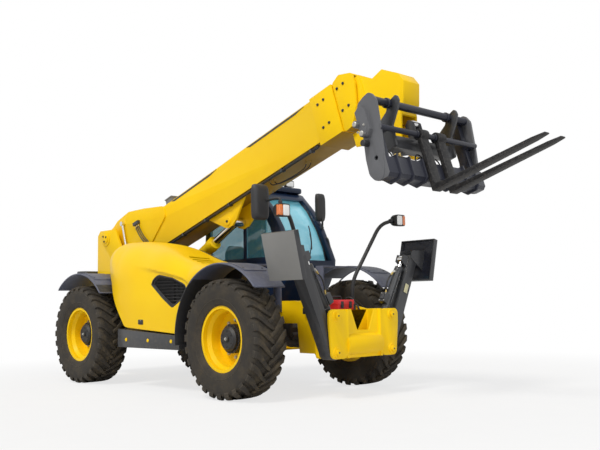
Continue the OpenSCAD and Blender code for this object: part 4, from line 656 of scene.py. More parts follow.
def between(pairs, x):
    """Reads a smooth curve through (x, y) pairs, which are sorted by x."""
    if x <= pairs[0][0]:
        return pairs[0][1]
    for i in range(len(pairs) - 1):
        (x0, y0), (x1, y1) = pairs[i:i + 2]
        if x <= x1:
            before = pairs[i - 1] if i else (x0 - (x1 - x0), y0 - (y1 - y0))
            after = pairs[i + 2] if i + 2 < len(pairs) else (x1 + (x1 - x0), y1 + (y1 - y0))
            m0 = (y1 - before[1]) / (x1 - before[0]) * (x1 - x0)
            m1 = (after[1] - y0) / (after[0] - x0) * (x1 - x0)
            t = (x - x0) / (x1 - x0)
            return ((2 * t ** 3 - 3 * t ** 2 + 1) * y0 + (t ** 3 - 2 * t ** 2 + t) * m0
                    + (3 * t ** 2 - 2 * t ** 3) * y1 + (t ** 3 - t ** 2) * m1)
    return pairs[-1][1]


def soft_step(x, low, high):
    """Rises from 0 at low to 1 at high, gently at both ends."""
    t = min(1, max(0, (x - low) / (high - low)))
    return t * t * (3 - 2 * t)


# The CAD nodes that stay: finishes and eased edges

NODE_LOOKS = {
    YELLOW: ["main_frame", "front_frame", "boom_outer", "boom_tray", "boom_middle", "boom_inner",
             "lift_barrel", "comp_barrel"],
    BLACK: ["counterweight", "side_sill", "fuel_tank", "leg_left", "leg_right", "coupler", "tilt_barrel",
            "engine_bay", "stab_barrel_left", "stab_barrel_right"],
    GREY: ["fork_frame"],
    CAB: ["cab_shell", "cab_roof", "door_frame"],
    SLATE: ["front_fenders", "rear_fenders"],
    PLASTIC: ["cab_dash"],
    IRON: ["front_axle", "rear_axle", "drive_line", "engine", "tow_hitch",
           *("knuckle_" + corner for corner in CORNERS)],
    CHROME: ["lift_rod", "comp_rod", "tilt_rod", "stab_rod_left", "stab_rod_right"],
    FORGED: ["forks"],
    GLASS: ["cab_glass", "door_glass"],
    RED: ["tool_box"],
}
EASED_WIDTHS = {
    0.003: ["boom_tray", "front_fenders", "rear_fenders", "stab_barrel_left", "stab_barrel_right"],
    0.004: ["door_frame", "lift_barrel"],
    0.005: ["main_frame", "fork_frame", "forks", "tow_hitch"],
    0.006: ["boom_outer", "boom_middle", "boom_inner", "leg_left", "leg_right", "coupler", "cab_shell"],
    0.008: ["front_frame", "side_sill", "drive_line"],
    0.010: ["fuel_tank", "front_axle", "rear_axle", "cab_dash"],
    0.012: ["counterweight", "tool_box", "engine"],
    0.020: ["cab_roof"],
}
EASED = {node: width for width, names in EASED_WIDTHS.items() for node in names}
WELD_GAP = 0.0002
FLAT_ANGLE = math.radians(0.4)
HUB_R = 0.155
FENDER_FLAP = 0.42
FENDER_FLAP_TOP = AXLE_Z + 0.62
BAR_HALF = 0.715
PAD_DEPTH = 0.12
PANE_DEPTH = 0.05


def dress(node, look):
    """Gives a node its finish, with its edges eased where EASED says so."""
    mesh = nodes[node].data
    mesh.materials.clear()
    mesh.materials.append(look)
    if "custom_normal" in mesh.attributes:
        mesh.attributes.remove(mesh.attributes["custom_normal"])
    weld = nodes[node].modifiers.new("weld", "WELD")
    weld.merge_threshold = WELD_GAP
    if node in EASED:
        flat = nodes[node].modifiers.new("flat", "DECIMATE")
        flat.decimate_type = "DISSOLVE"
        flat.angle_limit = FLAT_ANGLE
        ease(nodes[node], EASED[node])
    shade(nodes[node])


def mark_faces(node, look, rule):
    """Gives a second finish to the faces whose middle passes the rule."""
    mesh = nodes[node].data
    mesh.materials.append(look)
    number = len(mesh.materials) - 1
    for face in mesh.polygons:
        if rule(face.center, face.normal):
            face.material_index = number


def dress_nodes():
    """Finishes for the nodes that stay, with second ones on hubs, flaps, bars, pads and panes; painted shade
    on the boom's undersides, the near side panes and, in part, the pads' dark inner faces.
    """
    for look, names in NODE_LOOKS.items():
        for node in names:
            dress(node, look)
    for corner, (x, s) in CORNERS.items():
        dress("rim_" + corner, YELLOW)
        mark_faces("rim_" + corner, PLASTIC, lambda c, n: math.hypot(c.x - x, c.z - AXLE_Z) < HUB_R)
    for end, x in ENDS:
        inward = -1 if end == "front" else 1
        mark_faces(end + "_fenders", PLASTIC,
                   lambda c, n: (c.x - x) * inward > FENDER_FLAP and c.z < FENDER_FLAP_TOP)
    mark_faces("fork_frame", NAVY, lambda c, n: abs(c.y) < BAR_HALF)
    for side, s in SIDES:
        low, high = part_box("leg_" + side)
        edge = high.y if s > 0 else low.y
        # The pads' soles are grey and their inner faces dark navy: partly the pads' dark top side and partly
        # painted shade.
        for look, facing in ((PAD, s), (NAVY, -s)):
            mark_faces("leg_" + side, look,
                       lambda c, n: (edge - c.y) * s < PAD_DEPTH and n.y * facing > 0.3)
    # The near side panes take the darker copy of the glass as painted shade.
    near_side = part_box("cab_glass")[0].y + PANE_DEPTH
    mark_faces("cab_glass", GLASS_SHADED_SIDE, lambda c, n: c.y < near_side and abs(n.y) > 0.7)
    # The boom's downward faces take the dark yellow as painted shade for the shade under the boom.
    for node in ("boom_outer", "boom_middle"):
        mark_faces(node, UNDERSIDE_SHADE, lambda c, n: n.z < -0.85)


# Tyres

TREAD_COUNT = 28
TREAD_WIDE = 0.066
TREAD_TAPER = 0.010
TREAD_FOOT = 0.583
SHOULDER_FOOT = 0.535
SHOULDER_TUCK = 0.006
TREAD_ROWS = ((0.204, 0.556, 0.0), (0.202, 0.585, 0.0), (0.190, 0.606, 0.3), (0.165, 0.615, 1.2),
              (0.120, 0.6185, 4.5), (0.072, 0.6195, 9.0), (0.022, 0.620, 13.0), (-0.020, 0.620, 15.5))
SIDEWALL = ((0.150, 0.338), (0.172, 0.345), (0.180, 0.358), (0.184, 0.366), (0.196, 0.400), (0.2040, 0.445),
            (0.2045, 0.490), (0.2045, 0.520), (0.2010, 0.545), (0.193, 0.566), (0.175, 0.581), (0.140, 0.587),
            (0.075, 0.590))
WALL_RINGS = ((0.2035, 0.498), (0.2005, 0.410))
RING_SECTION = ((-0.004, -0.006), (0.0012, -0.003), (0.0012, 0.003), (-0.004, 0.006))


def tyre(corner, x, s):
    """A lugged tyre: a turned carcass, and two rows of blocks that meet in a staggered chevron."""
    shape = Shape(Matrix.Translation((x, s * WHEEL_Y, AXLE_Z)))
    centre, axle, steps = (0, 0, 0), (0, 1, 0), 96
    wall = list(SIDEWALL) + [(-d, r) for d, r in reversed(SIDEWALL)]
    shape.turned(wall, centre, axle, steps, hollow=True)
    for side in (1, -1):
        for d, r in WALL_RINGS:
            ring = [(side * (d + out), r + up) for out, up in RING_SECTION]
            shape.turned(ring, centre, axle, steps, hollow=True)
        for turn in turns(TREAD_COUNT, 0.5 if side > 0 else 0):
            tread_block(shape, side, turn)
    shape.make("tread_" + corner, "wheel_" + corner, RUBBER, round_edge=0.005, replaces=("tyre_" + corner,),
               slot="tyre")


def tread_block(shape, side, turn):
    """One lug, from the shoulder to past the middle; its rows are (across, top radius, lag in degrees)."""
    rows = []
    for i, (across, top, lag) in enumerate(TREAD_ROWS):
        foot = min(top - 0.004, TREAD_FOOT) if i else SHOULDER_FOOT
        width = TREAD_WIDE - TREAD_TAPER * max(0, i - 4)
        row = []
        for r, share in ((foot, -0.58), (top, -0.5), (top, 0.5), (foot, 0.58)):
            a = turn - math.radians(lag) + width * share / TYRE_R
            inward = SHOULDER_TUCK if r == foot and i == 0 else 0
            row.append((r * math.cos(a), side * (across - inward), r * math.sin(a)))
        rows.append(row)
    shape.rings(rows)


# Engine hood

HOOD_LOW, HOOD_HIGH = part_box("engine_hood")
HOOD_IN, HOOD_TOP = joint_spot("hood_lift").yz
HOOD_OUT = HOOD_LOW.y
HOOD_SPAN = HOOD_IN - HOOD_OUT
HOOD_BASE = HOOD_LOW.z
HOOD_RISE = HOOD_TOP - HOOD_BASE
HOOD_REAR = HOOD_LOW.x - HOME
HOOD_FRONT_SHARE = 0.955
HOOD_RUN = (HOOD_HIGH.x - HOOD_LOW.x) / HOOD_FRONT_SHARE
HOOD_WALL = 0.016
ARCH_FRONT_RISE = 0.7496
ARCH_R = math.hypot(HOOD_HIGH.x - FRONT_X, ARCH_FRONT_RISE)
HOOD_TOP_LINE = ((0.0, 0.80), (0.008, 0.83), (0.025, 0.875), (0.060, 0.935), (0.13, 1.0), (0.22, 1.002),
                 (0.33, 0.985), (0.55, 0.89), (0.76, 0.725), (HOOD_FRONT_SHARE, 0.655))
HOOD_REAR_LINE = ((0.0, 0.795), (0.05, 0.727), (0.125, 0.62), (0.165, 0.545), (0.19, 0.43), (0.315, 0.07),
                  (0.345, 0.058), (0.765, 0.0))
HOOD_PLAN = ((0.0, 0.66), (0.03, 0.52), (0.10, 0.30), (0.22, 0.08), (0.34, 0.012), (0.5, 0.0), (0.78, 0.0),
             (0.90, 0.02), (HOOD_FRONT_SHARE, 0.07))
CREASE = ((-0.30, 1.43), (0.05, 1.39), (0.40, 1.33), (0.61, 1.29), (0.75, 1.25), (0.95, 1.13))
CREASE_DEEP = 0.030
CREASE_FADE = 0.42
SHOULDER_POWER = 0.92
TUCK_DEEP = 0.022
TUCK_TALL = 0.42
GRILLE = ((0.082, 1.214), (0.100, 1.256), (0.142, 1.289), (0.190, 1.310), (0.239, 1.317), (0.490, 1.278),
          (0.690, 1.212), (0.735, 1.190), (0.757, 1.155), (0.747, 1.085), (0.725, 1.060), (0.530, 0.960),
          (0.500, 0.956), (0.470, 0.970), (0.300, 1.067))
GRILLE_SIDES = tuple(zip(GRILLE, GRILLE[1:] + GRILLE[:1]))
LOUVRES = (((0.532, -0.815), (0.597, -0.570)), ((0.640, -0.850), (0.715, -0.610)),
           ((0.749, -0.866), (0.835, -0.650)), ((0.860, -0.890), (0.950, -0.700)))
LATCH = Vector((-0.142, 0.783))


def hood_share(x):
    return (x - HOOD_REAR) / HOOD_RUN


def hood_top(x):
    return HOOD_BASE + HOOD_RISE * between(HOOD_TOP_LINE, hood_share(x))


def hood_low(x):
    """The lower edge: the rear arch, the sill line and the round front arch."""
    reach = x - FRONT_REACH
    if reach > -ARCH_R * 0.999:
        return AXLE_Z + math.sqrt(max(0, ARCH_R ** 2 - reach ** 2))
    share = hood_share(x)
    for (a, za), (b, zb) in zip(HOOD_REAR_LINE, HOOD_REAR_LINE[1:]):
        if share <= b:
            return HOOD_BASE + HOOD_RISE * (za + (zb - za) * (share - a) / (b - a))
    return HOOD_BASE


def hood_row(x):
    """One section of the hood, from its inner top edge round the shoulder and down its wall."""
    top, low = hood_top(x), hood_low(x)
    tall = max(0.004, top - low)
    outer = HOOD_OUT + HOOD_SPAN * between(HOOD_PLAN, hood_share(x))
    fore = soft_step(x, -0.35, 0.55)
    drop = min(0.50 - 0.24 * fore, tall * 0.62)
    round_w = min(0.43 - 0.21 * fore, (HOOD_IN - outer) * 0.72)
    flat, bend, wall = 8, 26, 44
    row = [(HOOD_IN + (outer + round_w - HOOD_IN) * k / flat, top) for k in range(flat)]
    for k in range(bend):
        a = math.pi / 2 * k / bend
        row.append((outer + round_w * (1 - math.sin(a) ** SHOULDER_POWER),
                    top - drop * (1 - math.cos(a) ** SHOULDER_POWER)))
    row += [(outer, top - drop + (low - top + drop) * k / wall) for k in range(wall + 1)]
    crest = between(CREASE, x)
    deep = CREASE_DEEP * soft_step(x, -0.42, 0.16) * (1 - soft_step(x, 0.74, 0.96))
    done = []
    for y, z in row:
        under = soft_step(crest - z, -0.012, 0.030) * math.exp(-(max(0, crest - z) / CREASE_FADE) ** 2)
        tuck = TUCK_DEEP * soft_step(HOOD_BASE + TUCK_TALL - z, 0, TUCK_TALL)
        done.append((x, y + (deep * under + tuck) * soft_step(-y, 0.7, 0.9), z))
    return done


def row_spot(row, axis, level):
    """Where a section of the hood passes a level of y (axis 1) or of z (axis 2)."""
    for a, b in zip(row, row[1:]):
        if b[axis] <= level <= a[axis] and a[axis] > b[axis]:
            return Vector(a).lerp(Vector(b), (level - a[axis]) / (b[axis] - a[axis]))
    return Vector(row[-1])


def hood_face(x, z):
    """How far to the right the hood's wall stands at x and z."""
    return row_spot(hood_row(x), 2, z).y


def hood_spot(x, y):
    """The point of the hood's top and shoulder at x and y."""
    return row_spot(hood_row(x), 1, y)


def hood_normal(x, y):
    ahead = hood_spot(x + 0.02, y) - hood_spot(x - 0.02, y)
    aside = hood_spot(x, y - 0.01) - hood_spot(x, y + 0.01)
    normal = ahead.cross(aside).normalized()
    return normal if normal.z > 0 else -normal


def drop_piece(piece):
    """Removes a helper piece and its mesh."""
    mesh = piece.data
    bpy.data.objects.remove(piece)
    bpy.data.meshes.remove(mesh)


def engine_hood():
    """The shell with its crease, cut open for the grille and the louvres."""
    steps, rear, front = 96, HOOD_REAR + 0.003, HOOD_HIGH.x - HOME - 0.002
    shares = [k / steps for k in range(steps + 1)]
    stations = [rear + (front - rear) * (t - 0.05 * math.sin(2 * math.pi * t)) for t in shares]
    shape = Shape()
    shape.rings([hood_row(x) for x in stations], loop=False)
    hood = shape.make("hood_shell", "hood", YELLOW, round_edge=0, replaces=("engine_hood",),
                      slot="hood_plastic")
    hood.modifiers.clear()
    thick = hood.modifiers.new("thick", "SOLIDIFY")
    thick.thickness = HOOD_WALL
    thick.offset = -1
    tool = hood_cutter()
    cut = hood.modifiers.new("cut", "BOOLEAN")
    cut.object = tool
    cut.solver = "EXACT"
    settle(hood)
    drop_piece(tool)
    shade(hood)
    hood_trim()


def hood_cutter():
    """What is cut out of the hood; the louvres' lips and the dark panels behind them are made on the way."""
    cutter = Shape()
    cutter.slab(GRILLE, -1.3, -0.6)
    lips = Shape()
    for start, end in LOUVRES:
        ends = [hood_spot(*start), hood_spot(*end)]
        lean = hood_normal((start[0] + end[0]) / 2, (start[1] + end[1]) / 2)
        side = lean.cross(ends[1] - ends[0]).normalized()
        back = side if side.x < 0 else -side
        lips.tube([ends[0].lerp(ends[1], k / 8) + back * 0.030 + lean * 0.002 for k in range(9)], 0.006, 10)
        for form, wide, low, high, mark in ((cutter, 0.026, -0.06, 0.06, 0),
                                            (lips, 0.040, -0.026, -0.022, 1)):
            section = ((-wide, low), (wide, low), (wide, high), (-wide, high))
            form.rings([[e + side * w + lean * d for w, d in section] for e in ends], mark)
    lips.make("louvre_lips", "hood", YELLOW, PLASTIC, round_edge=0)
    tool = cutter.make("hood_cutter", "hood", YELLOW, round_edge=0)
    tool.modifiers.clear()
    return tool


def grille_span(level, along):
    """Where the grille's opening begins and ends, along x at a height or up z at a place along."""
    a, c = (1, 0) if along == "x" else (0, 1)
    cuts = [p[c] + (q[c] - p[c]) * (level - p[a]) / (q[a] - p[a]) for p, q in GRILLE_SIDES
            if (p[a] - level) * (q[a] - level) < 0]
    return min(cuts), max(cuts)


def hood_trim():
    """The grille with its slats and mesh, and the latch."""
    grille = Shape()
    ring = [(xa + (xb - xa) * k / 4, za + (zb - za) * k / 4)
            for (xa, za), (xb, zb) in GRILLE_SIDES for k in range(4)]
    ring += ring[:2]
    mid_x, mid_z = (sum(values) / len(GRILLE) for values in zip(*GRILLE))
    inner = [(mid_x + (x - mid_x) * 0.95, mid_z + (z - mid_z) * 0.93) for x, z in ring]
    for rim, inset, radius in ((ring, 0.006, 0.010), (inner, 0.022, 0.011)):
        grille.tube([(x, hood_face(x, z) + inset, z) for x, z in rim], radius, 10)
    slat = ((0, 0), (0.004, 0.005), (0.034, -0.018), (0.030, -0.023))
    for k in range(9):
        z = 0.985 + 0.037 * k
        low, high = grille_span(z, "x")
        y = hood_face((low + high) / 2, z) + 0.020
        grille.slab([(y + dy, z + dz) for dy, dz in slat], low, high, "x")
    for k in range(26):
        x = 0.105 + 0.025 * k
        low, high = grille_span(x, "z")
        y = hood_face(x, (low + high) / 2) + 0.018
        grille.tube([(x, y, low), (x, y, high)], 0.0022, 6)
    grille.make("grille_mesh", "hood", PLASTIC, round_edge=0, replaces=("hood_grille",), slot="black_plastic")
    latch = Shape()
    x, z = LATCH
    face = hood_face(x, z)
    latch.loft("y", LATCH, [(face + 0.006, 0.054, 0.030, 8), (face - 0.004, 0.052, 0.028, 8)])
    latch.loft("y", (x, z - 0.007), [(face - 0.003, 0.036, 0.012, 6), (face - 0.009, 0.033, 0.009, 6)])
    latch.turned([(0, 0.007), (0.003, 0.006)], (x, face - 0.004, z + 0.017), (0, -1, 0), 14, 1)
    latch.make("hood_latch", "hood", PLASTIC, ZINC, round_edge=0.001)


# Hoses

def arch(a, b, lift):
    """A hose's path: straight up from a, half a circle, and straight down to b."""
    a, b = Vector(a), Vector(b)
    level = max(a.z, b.z) + lift
    left, right = Vector((a.x, a.y, level)), Vector((b.x, b.y, level))
    across = (right - left) / 2
    path = [a.lerp(left, k / 5) for k in range(5)]
    for k in range(17):
        t = math.pi * k / 16
        path.append((left + right) / 2 - across * math.cos(t) + UP * across.length * math.sin(t))
    return path + [right.lerp(b, k / 5) for k in range(1, 6)]


def hose(place, name, body, path, radius):
    """A rubber hose with crimped ends."""
    tube = Shape(place)
    tube.tube(path, radius, 12)
    crimp = [(-0.002, radius * 0.9), (0, radius * 1.5), (radius * 2.2, radius * 1.5),
             (radius * 2.4, radius * 1.25), (radius * 5, radius * 1.25), (radius * 5.2, radius)]
    for end, beside in ((path[0], path[1]), (path[-1], path[-2])):
        tube.turned(crimp, end, beside - end, 12, 1)
    piece = tube.make(name, body, HOSE, BRASS, round_edge=0)
    places = [place @ p for p in path]
    length = sum((b - a).length for a, b in zip(places, places[1:]))


# Wheels, lamps and mirrors

def wheel_bolts(corner, x, s):
    """Wheel nuts, hub and cap screws, the drain plug and the valve."""
    shape = Shape(Matrix.Translation((x, s * WHEEL_Y, AXLE_Z)))
    out = Vector((0, s, 0))
    circles = ((10, 0.192, -0.030, 0.017, 0), (16, 0.139, 0.045, 0.007, 1), (6, 0.080, 0.092, 0.007, 1))
    for count, circle, d, size, mark in circles:
        for a in turns(count, 0.5):
            shape.bolt((circle * math.cos(a), s * d, circle * math.sin(a)), out, size, mark)
    shape.turned(disc(0.034, 0.010, 0.014, 0.028), (0, s * 0.092, 0), out, 24, 1)
    shape.bolt((0, s * 0.105, 0), out, 0.014, 0)
    valve = [(0.262, -s * 0.028, 0), (0.262, s * 0.030, 0), (0.290, s * 0.062, 0)]
    shape.pipe(valve, 0.02, 0.005, 8, 1)
    shape.make("wheel_bolts_" + corner, "wheel_" + corner, ZINC, IRON, round_edge=0)


ROOF_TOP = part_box("cab_roof")[1].z
LAMP = Vector((2.180, 0.895, middle("lamp_lenses").z))
POST = Vector((1.960, 0.345, 0.880))
ROOF_LAMP = (0.960, ROOF_TOP + 0.065)
MIRROR_TALL = 0.180


def lamps():
    """Two head lamps on bent posts and a work lamp on the roof."""
    posts = Shape()
    glass = Shape()
    for s in (1, -1):
        y, z = s * LAMP.y, LAMP.z
        way = [(POST.x, s * POST.y, POST.z), (1.981, s * POST.y, 1.21), (2.100, s * 0.690, 1.84),
               (LAMP.x, s * 0.825, z)]
        posts.pipe(way, 0.11, 0.021, 16)
        posts.box((1.918, s * 0.343 - 0.023, 0.859), (2.002, s * 0.343 + 0.023, 0.922))
        posts.turned(disc(0.026, 0.034), (POST.x, s * POST.y, 0.925), UP, 20)
        posts.turned(disc(0.027, 0.030, 0.033, 0.023), (2.160, s * 0.790, 1.880),
                     (0.5, s * 0.84, 0.32), 20)
        posts.loft("x", (y, z), [(2.121, 0.034, 0.032, 3), (2.134, 0.058, 0.050, 4), (2.165, 0.071, 0.062, 5),
                                 (2.200, 0.075, 0.065, 6), (2.2395, 0.075, 0.065, 7)])
        glass.loft("x", (y - s * 0.021, z), [(2.236, 0.043, 0.054, 8), (2.244, 0.042, 0.053, 7),
                                             (2.250, 0.034, 0.045, 5)])
        glass.loft("x", (y + s * 0.050, z), [(2.204, 0.026, 0.054, 8),
                                             (2.243, 0.026, 0.053, 7, -s * 0.001, 0),
                                             (2.249, 0.019, 0.045, 5, -s * 0.003, 0)], 1)
        posts.loft("x", (y + s * 0.024, z), [(2.238, 0.0025, 0.056, 8), (2.2465, 0.002, 0.055, 8)])
    for y in (0.930, 0.990):
        posts.tube([(0.270, y, ROOF_TOP - 0.010), (0.285, ROOF_LAMP[0], ROOF_TOP + 0.040)], 0.008, 10)
    posts.box((0.240, 0.905, ROOF_TOP - 0.008), (0.300, 1.015, ROOF_TOP + 0.003))
    posts.loft("x", ROOF_LAMP, [(0.247, 0.040, 0.026, 3), (0.268, 0.068, 0.041, 5), (0.322, 0.073, 0.044, 7)])
    glass.loft("x", ROOF_LAMP, [(0.318, 0.066, 0.037, 8), (0.328, 0.060, 0.032, 6)])
    posts.make("lamp_frames", "chassis", PLASTIC, round_edge=0.003, replaces=("lamp_posts",),
               slot="black_paint")
    glass.make("lamp_glass", "chassis", CLEAR, AMBER, round_edge=0.002, replaces=("lamp_lenses",),
               slot="lens")


def mirror_heads():
    """A mirror on the right lamp post and one on the cab: rounded backs, glass to the rear, bent arms."""
    shape = Shape()
    low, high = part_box("mirrors")
    for x, wide, s, edge in ((1.990, 0.105, -1, low), (0.800, 0.075, 1, high)):
        y, z = edge.y - s * wide, edge.z - s * MIRROR_TALL
        shape.loft("x", (y, z), [(x - 0.030, wide, MIRROR_TALL, 6), (x - 0.006, wide, MIRROR_TALL, 6),
                                 (x + 0.008, wide * 0.95, 0.175, 5), (x + 0.022, wide * 0.84, 0.160, 4),
                                 (x + 0.030, wide * 0.60, 0.130, 3)])
        shape.loft("x", (y, z), [(x - 0.0318, wide * 0.88, 0.166, 6), (x - 0.028, wide * 0.90, 0.168, 6)], 1)
        for dz in (-0.10, 0.10):
            shape.bolt((x + 0.024, y, z + dz), (1, 0, 0), 0.006)
    lamp_arm = [(LAMP.x, -LAMP.y, 1.950), (LAMP.x, -LAMP.y, 2.022), (1.995, -0.935, 2.004)]
    cab_arm = [(0.8186, 1.05, 1.9145), (0.828, 1.05, 2.02), (0.805, 1.05, 2.19)]
    for arm in (lamp_arm, cab_arm):
        shape.pipe(arm, 0.05, 0.013, 12)
    shape.turned(disc(0.020, 0.030, 0.034, 0.016), (LAMP.x, -LAMP.y, 1.955), UP, 16)
    shape.turned([(0, 0.020), (0.034, 0.018)], (0.8186, 1.05, 1.908), (0.1, 0, 1), 16)
    shape.make("mirror_heads", "chassis", PLASTIC, MIRROR, round_edge=0.002, replaces=("mirrors",),
               slot="black_plastic")


# Cab

SCREEN = ((0.888, 1.489), (0.846, 1.660), (0.726, 1.911), (0.572, 2.146), (0.416, 2.301))
SCREEN_SIDES = (0.401, 1.025)
SEAT = Vector((-0.2508, middle("cab_seat").y))
ARM_REST = 0.275
PAD_VOXEL = 0.006
PAD_PRESSURE = 4.0
PAD_CAP = 0.014


def swell(piece):
    """Blows a pad up as cloth, holds each point within the cap, and keeps the shape."""
    piece.modifiers.clear()
    skin = piece.modifiers.new("skin", "REMESH")
    skin.mode = "VOXEL"
    skin.voxel_size = PAD_VOXEL
    settle(piece)
    start = [v.co.copy() for v in piece.data.vertices]
    cloth = piece.modifiers.new("cloth", "CLOTH")
    cloth.settings.use_pressure = True
    cloth.settings.uniform_pressure_force = PAD_PRESSURE
    cloth.settings.effector_weights.gravity = 0
    for step in range(1, 21):
        scene.frame_set(step)
    settle(piece)
    for vertex, old in zip(piece.data.vertices, start):
        move = vertex.co - old
        if move.length > PAD_CAP:
            vertex.co = old + move * (PAD_CAP / move.length)
    scene.frame_set(1)
    shade(piece)


def seat():
    """A base with bellows, arm rests and a lever, and the two pads."""
    base = Shape()
    base.slab([(-0.43, 0.836), (-0.07, 0.836), (-0.05, 0.99), (-0.02, 1.065), (-0.48, 1.065), (-0.45, 0.99)],
              SEAT.y - 0.19, SEAT.y + 0.19)
    for k in range(5):
        base.box((-0.45, SEAT.y - 0.20, 0.865 + 0.030 * k), (-0.055, SEAT.y + 0.20, 0.875 + 0.030 * k))
    for s in (1, -1):
        y = SEAT.y + s * ARM_REST
        base.loft("x", (y, 1.385), [(-0.44, 0.020, 0.018, 3), (-0.42, 0.030, 0.026, 4),
                                    (-0.12, 0.030, 0.024, 4, 0, 0.007), (-0.10, 0.020, 0.014, 3, 0, 0.007)])
        base.tube([(-0.42, y - s * 0.035, 1.33), (-0.40, y, 1.385)], 0.016, 10)
    y = SEAT.y - ARM_REST
    base.pipe([(-0.13, y, 1.40), (-0.125, y, 1.47), (-0.115, y, 1.50)], 0.03, 0.012, 10)
    base.loft("z", (-0.115, y), [(1.48, 0.020, 0.018, 2.5), (1.52, 0.028, 0.024, 2.5, 0.003, 0),
                                 (1.545, 0.020, 0.018, 2.5, 0.003, 0)])
    base.make("seat_base", "chassis", PLASTIC, round_edge=0.004, slot="black_plastic")
    cushion = Shape()
    cushion.loft("z", SEAT, [(1.068, 0.222, 0.232, 6), (1.095, 0.232, 0.242, 6), (1.145, 0.230, 0.240, 6),
                             (1.172, 0.205, 0.215, 5)])
    swell(cushion.make("seat_cushion", "chassis", CLOTH, round_edge=0, replaces=("cab_seat",),
                       slot="seat_fabric"))
    lean = Matrix.Translation((HOME - 0.4258, SEAT.y, 1.125)) @ Matrix.Rotation(math.radians(-10), 4, "Y")
    back = Shape(lean)
    back.loft("z", (0, 0), [(0.035, 0.040, 0.19, 6), (0.075, 0.050, 0.215, 6), (0.40, 0.050, 0.215, 6),
                            (0.58, 0.044, 0.175, 5), (0.655, 0.030, 0.120, 4)])
    swell(back.make("seat_back", "chassis", CLOTH, round_edge=0, slot="seat_fabric"))


def screen_trim():
    """The windscreen's seal, and its wiper."""
    seal = Shape()
    edge = [(x + 0.004, z + 0.002) for x, z in SCREEN]
    for y in SCREEN_SIDES:
        seal.tube([(x, y, z) for x, z in edge], 0.008, 8)
    for x, z in (edge[0], edge[-1]):
        seal.tube([(x, y, z) for y in SCREEN_SIDES], 0.008, 8)
    seal.make("screen_seal", "chassis", PLASTIC, round_edge=0)
    wiper = Shape()
    wiper.turned([(-0.02, 0.020), (0.024, 0.020), (0.030, 0.014)], (0.893, 0.700, 1.470), (0.95, 0, 0.3), 20)
    arm = [(0.925, 0.700, 1.480), (0.915, 0.735, 1.58), (0.870, 0.80, 1.72), (0.800, 0.845, 1.845)]
    blade = [(0.876, 0.800, 1.640), (0.837, 0.835, 1.741), (0.789, 0.865, 1.846), (0.733, 0.890, 1.950)]
    for way, radius in ((arm, 0.006), (blade, 0.007)):
        wiper.tube(smooth_path(way, 6), radius, 8)
    wiper.make("wiper", "chassis", PLASTIC, round_edge=0)


def roof_hatch():
    hatch = Shape()
    hatch.loft("z", (-0.22, SEAT.y), [(ROOF_TOP - 0.002, 0.30, 0.26, 8), (ROOF_TOP + 0.016, 0.29, 0.25, 8),
                                      (ROOF_TOP + 0.020, 0.27, 0.23, 8)])
    hatch.make("roof_hatch", "chassis", CAB, round_edge=0.002)


def grab_rails():
    """A rail at the front corner of the cab and one behind the door."""
    rails = Shape()
    front = [(0.93, 1.060, 1.42), (0.985, 1.085, 1.44), (0.875, 1.085, 1.80), (0.820, 1.060, 1.79)]
    rear = [(-0.700, 1.095, 1.20), (-0.705, 1.130, 1.20), (-0.700, 1.130, 1.75), (-0.695, 1.095, 1.75)]
    for way, bend in ((front, 0.05), (rear, 0.04)):
        rails.pipe(way, bend, 0.013, 12)
    for z in (1.20, 1.75):
        rails.turned(disc(0.024, 0.008), (-0.700, 1.097, z), (0, 1, 0), 16)
    rails.make("grab_rails", "chassis", BLACK, round_edge=0)


def dash_hood():
    """The dash's hood and display, two pedals and the side console."""
    dash = Shape()
    dash.slab([(0.49, 1.50), (0.70, 1.50), (0.73, 1.56), (0.60, 1.64), (0.52, 1.63)], 0.54, 0.89)
    dash.slab([(0.512, 1.545), (0.516, 1.541), (0.543, 1.612), (0.539, 1.615)], 0.60, 0.83, mark=1)
    for y in (0.60, 0.82):
        dash.slab([(0.40, 0.850), (0.50, 0.930), (0.495, 0.940), (0.39, 0.862)], y - 0.04, y + 0.04)
    dash.loft("y", (0.18, 1.30), [(0.43, 0.30, 0.16, 5), (0.46, 0.31, 0.17, 5)])
    dash.make("dash_hood", "chassis", TRIM, GLASS_DARK, round_edge=0.004)


def door_handle():
    """A pull on its plate, and the lock."""
    door = Shape()
    door.loft("y", (-0.20, 1.30), [(1.096, 0.075, 0.035, 5), (1.106, 0.070, 0.031, 5)])
    grip = [(-0.255, 1.100, 1.305), (-0.255, 1.128, 1.305), (-0.145, 1.128, 1.305), (-0.145, 1.100, 1.305)]
    door.pipe(grip, 0.02, 0.008, 10)
    door.turned(disc(0.012, 0.006), (-0.165, 1.104, 1.275), (0, 1, 0), 16, 1)
    door.make("door_handle", "door", PLASTIC, ZINC, round_edge=0.002)


# Front, legs and carriage

LEG_PIN = joint_spot("leg_left_swing")
STAB_BASE = joint_spot("stab_left_swing")
STAB_EYE = Vector((STAB_BASE.x, 0.747, 1.435))
LEG_LEAN = math.radians(25)
LEG_FACE = LEG_PIN.x + 0.080
BRACKET_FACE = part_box("front_frame")[1].x - HOME - 0.003
BOX_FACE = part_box("tool_box")[1].x - HOME
BOX_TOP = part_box("tool_box")[1].z
FRONT_FLOOR = 0.466
CARRIAGE_FLOOR = -1.332


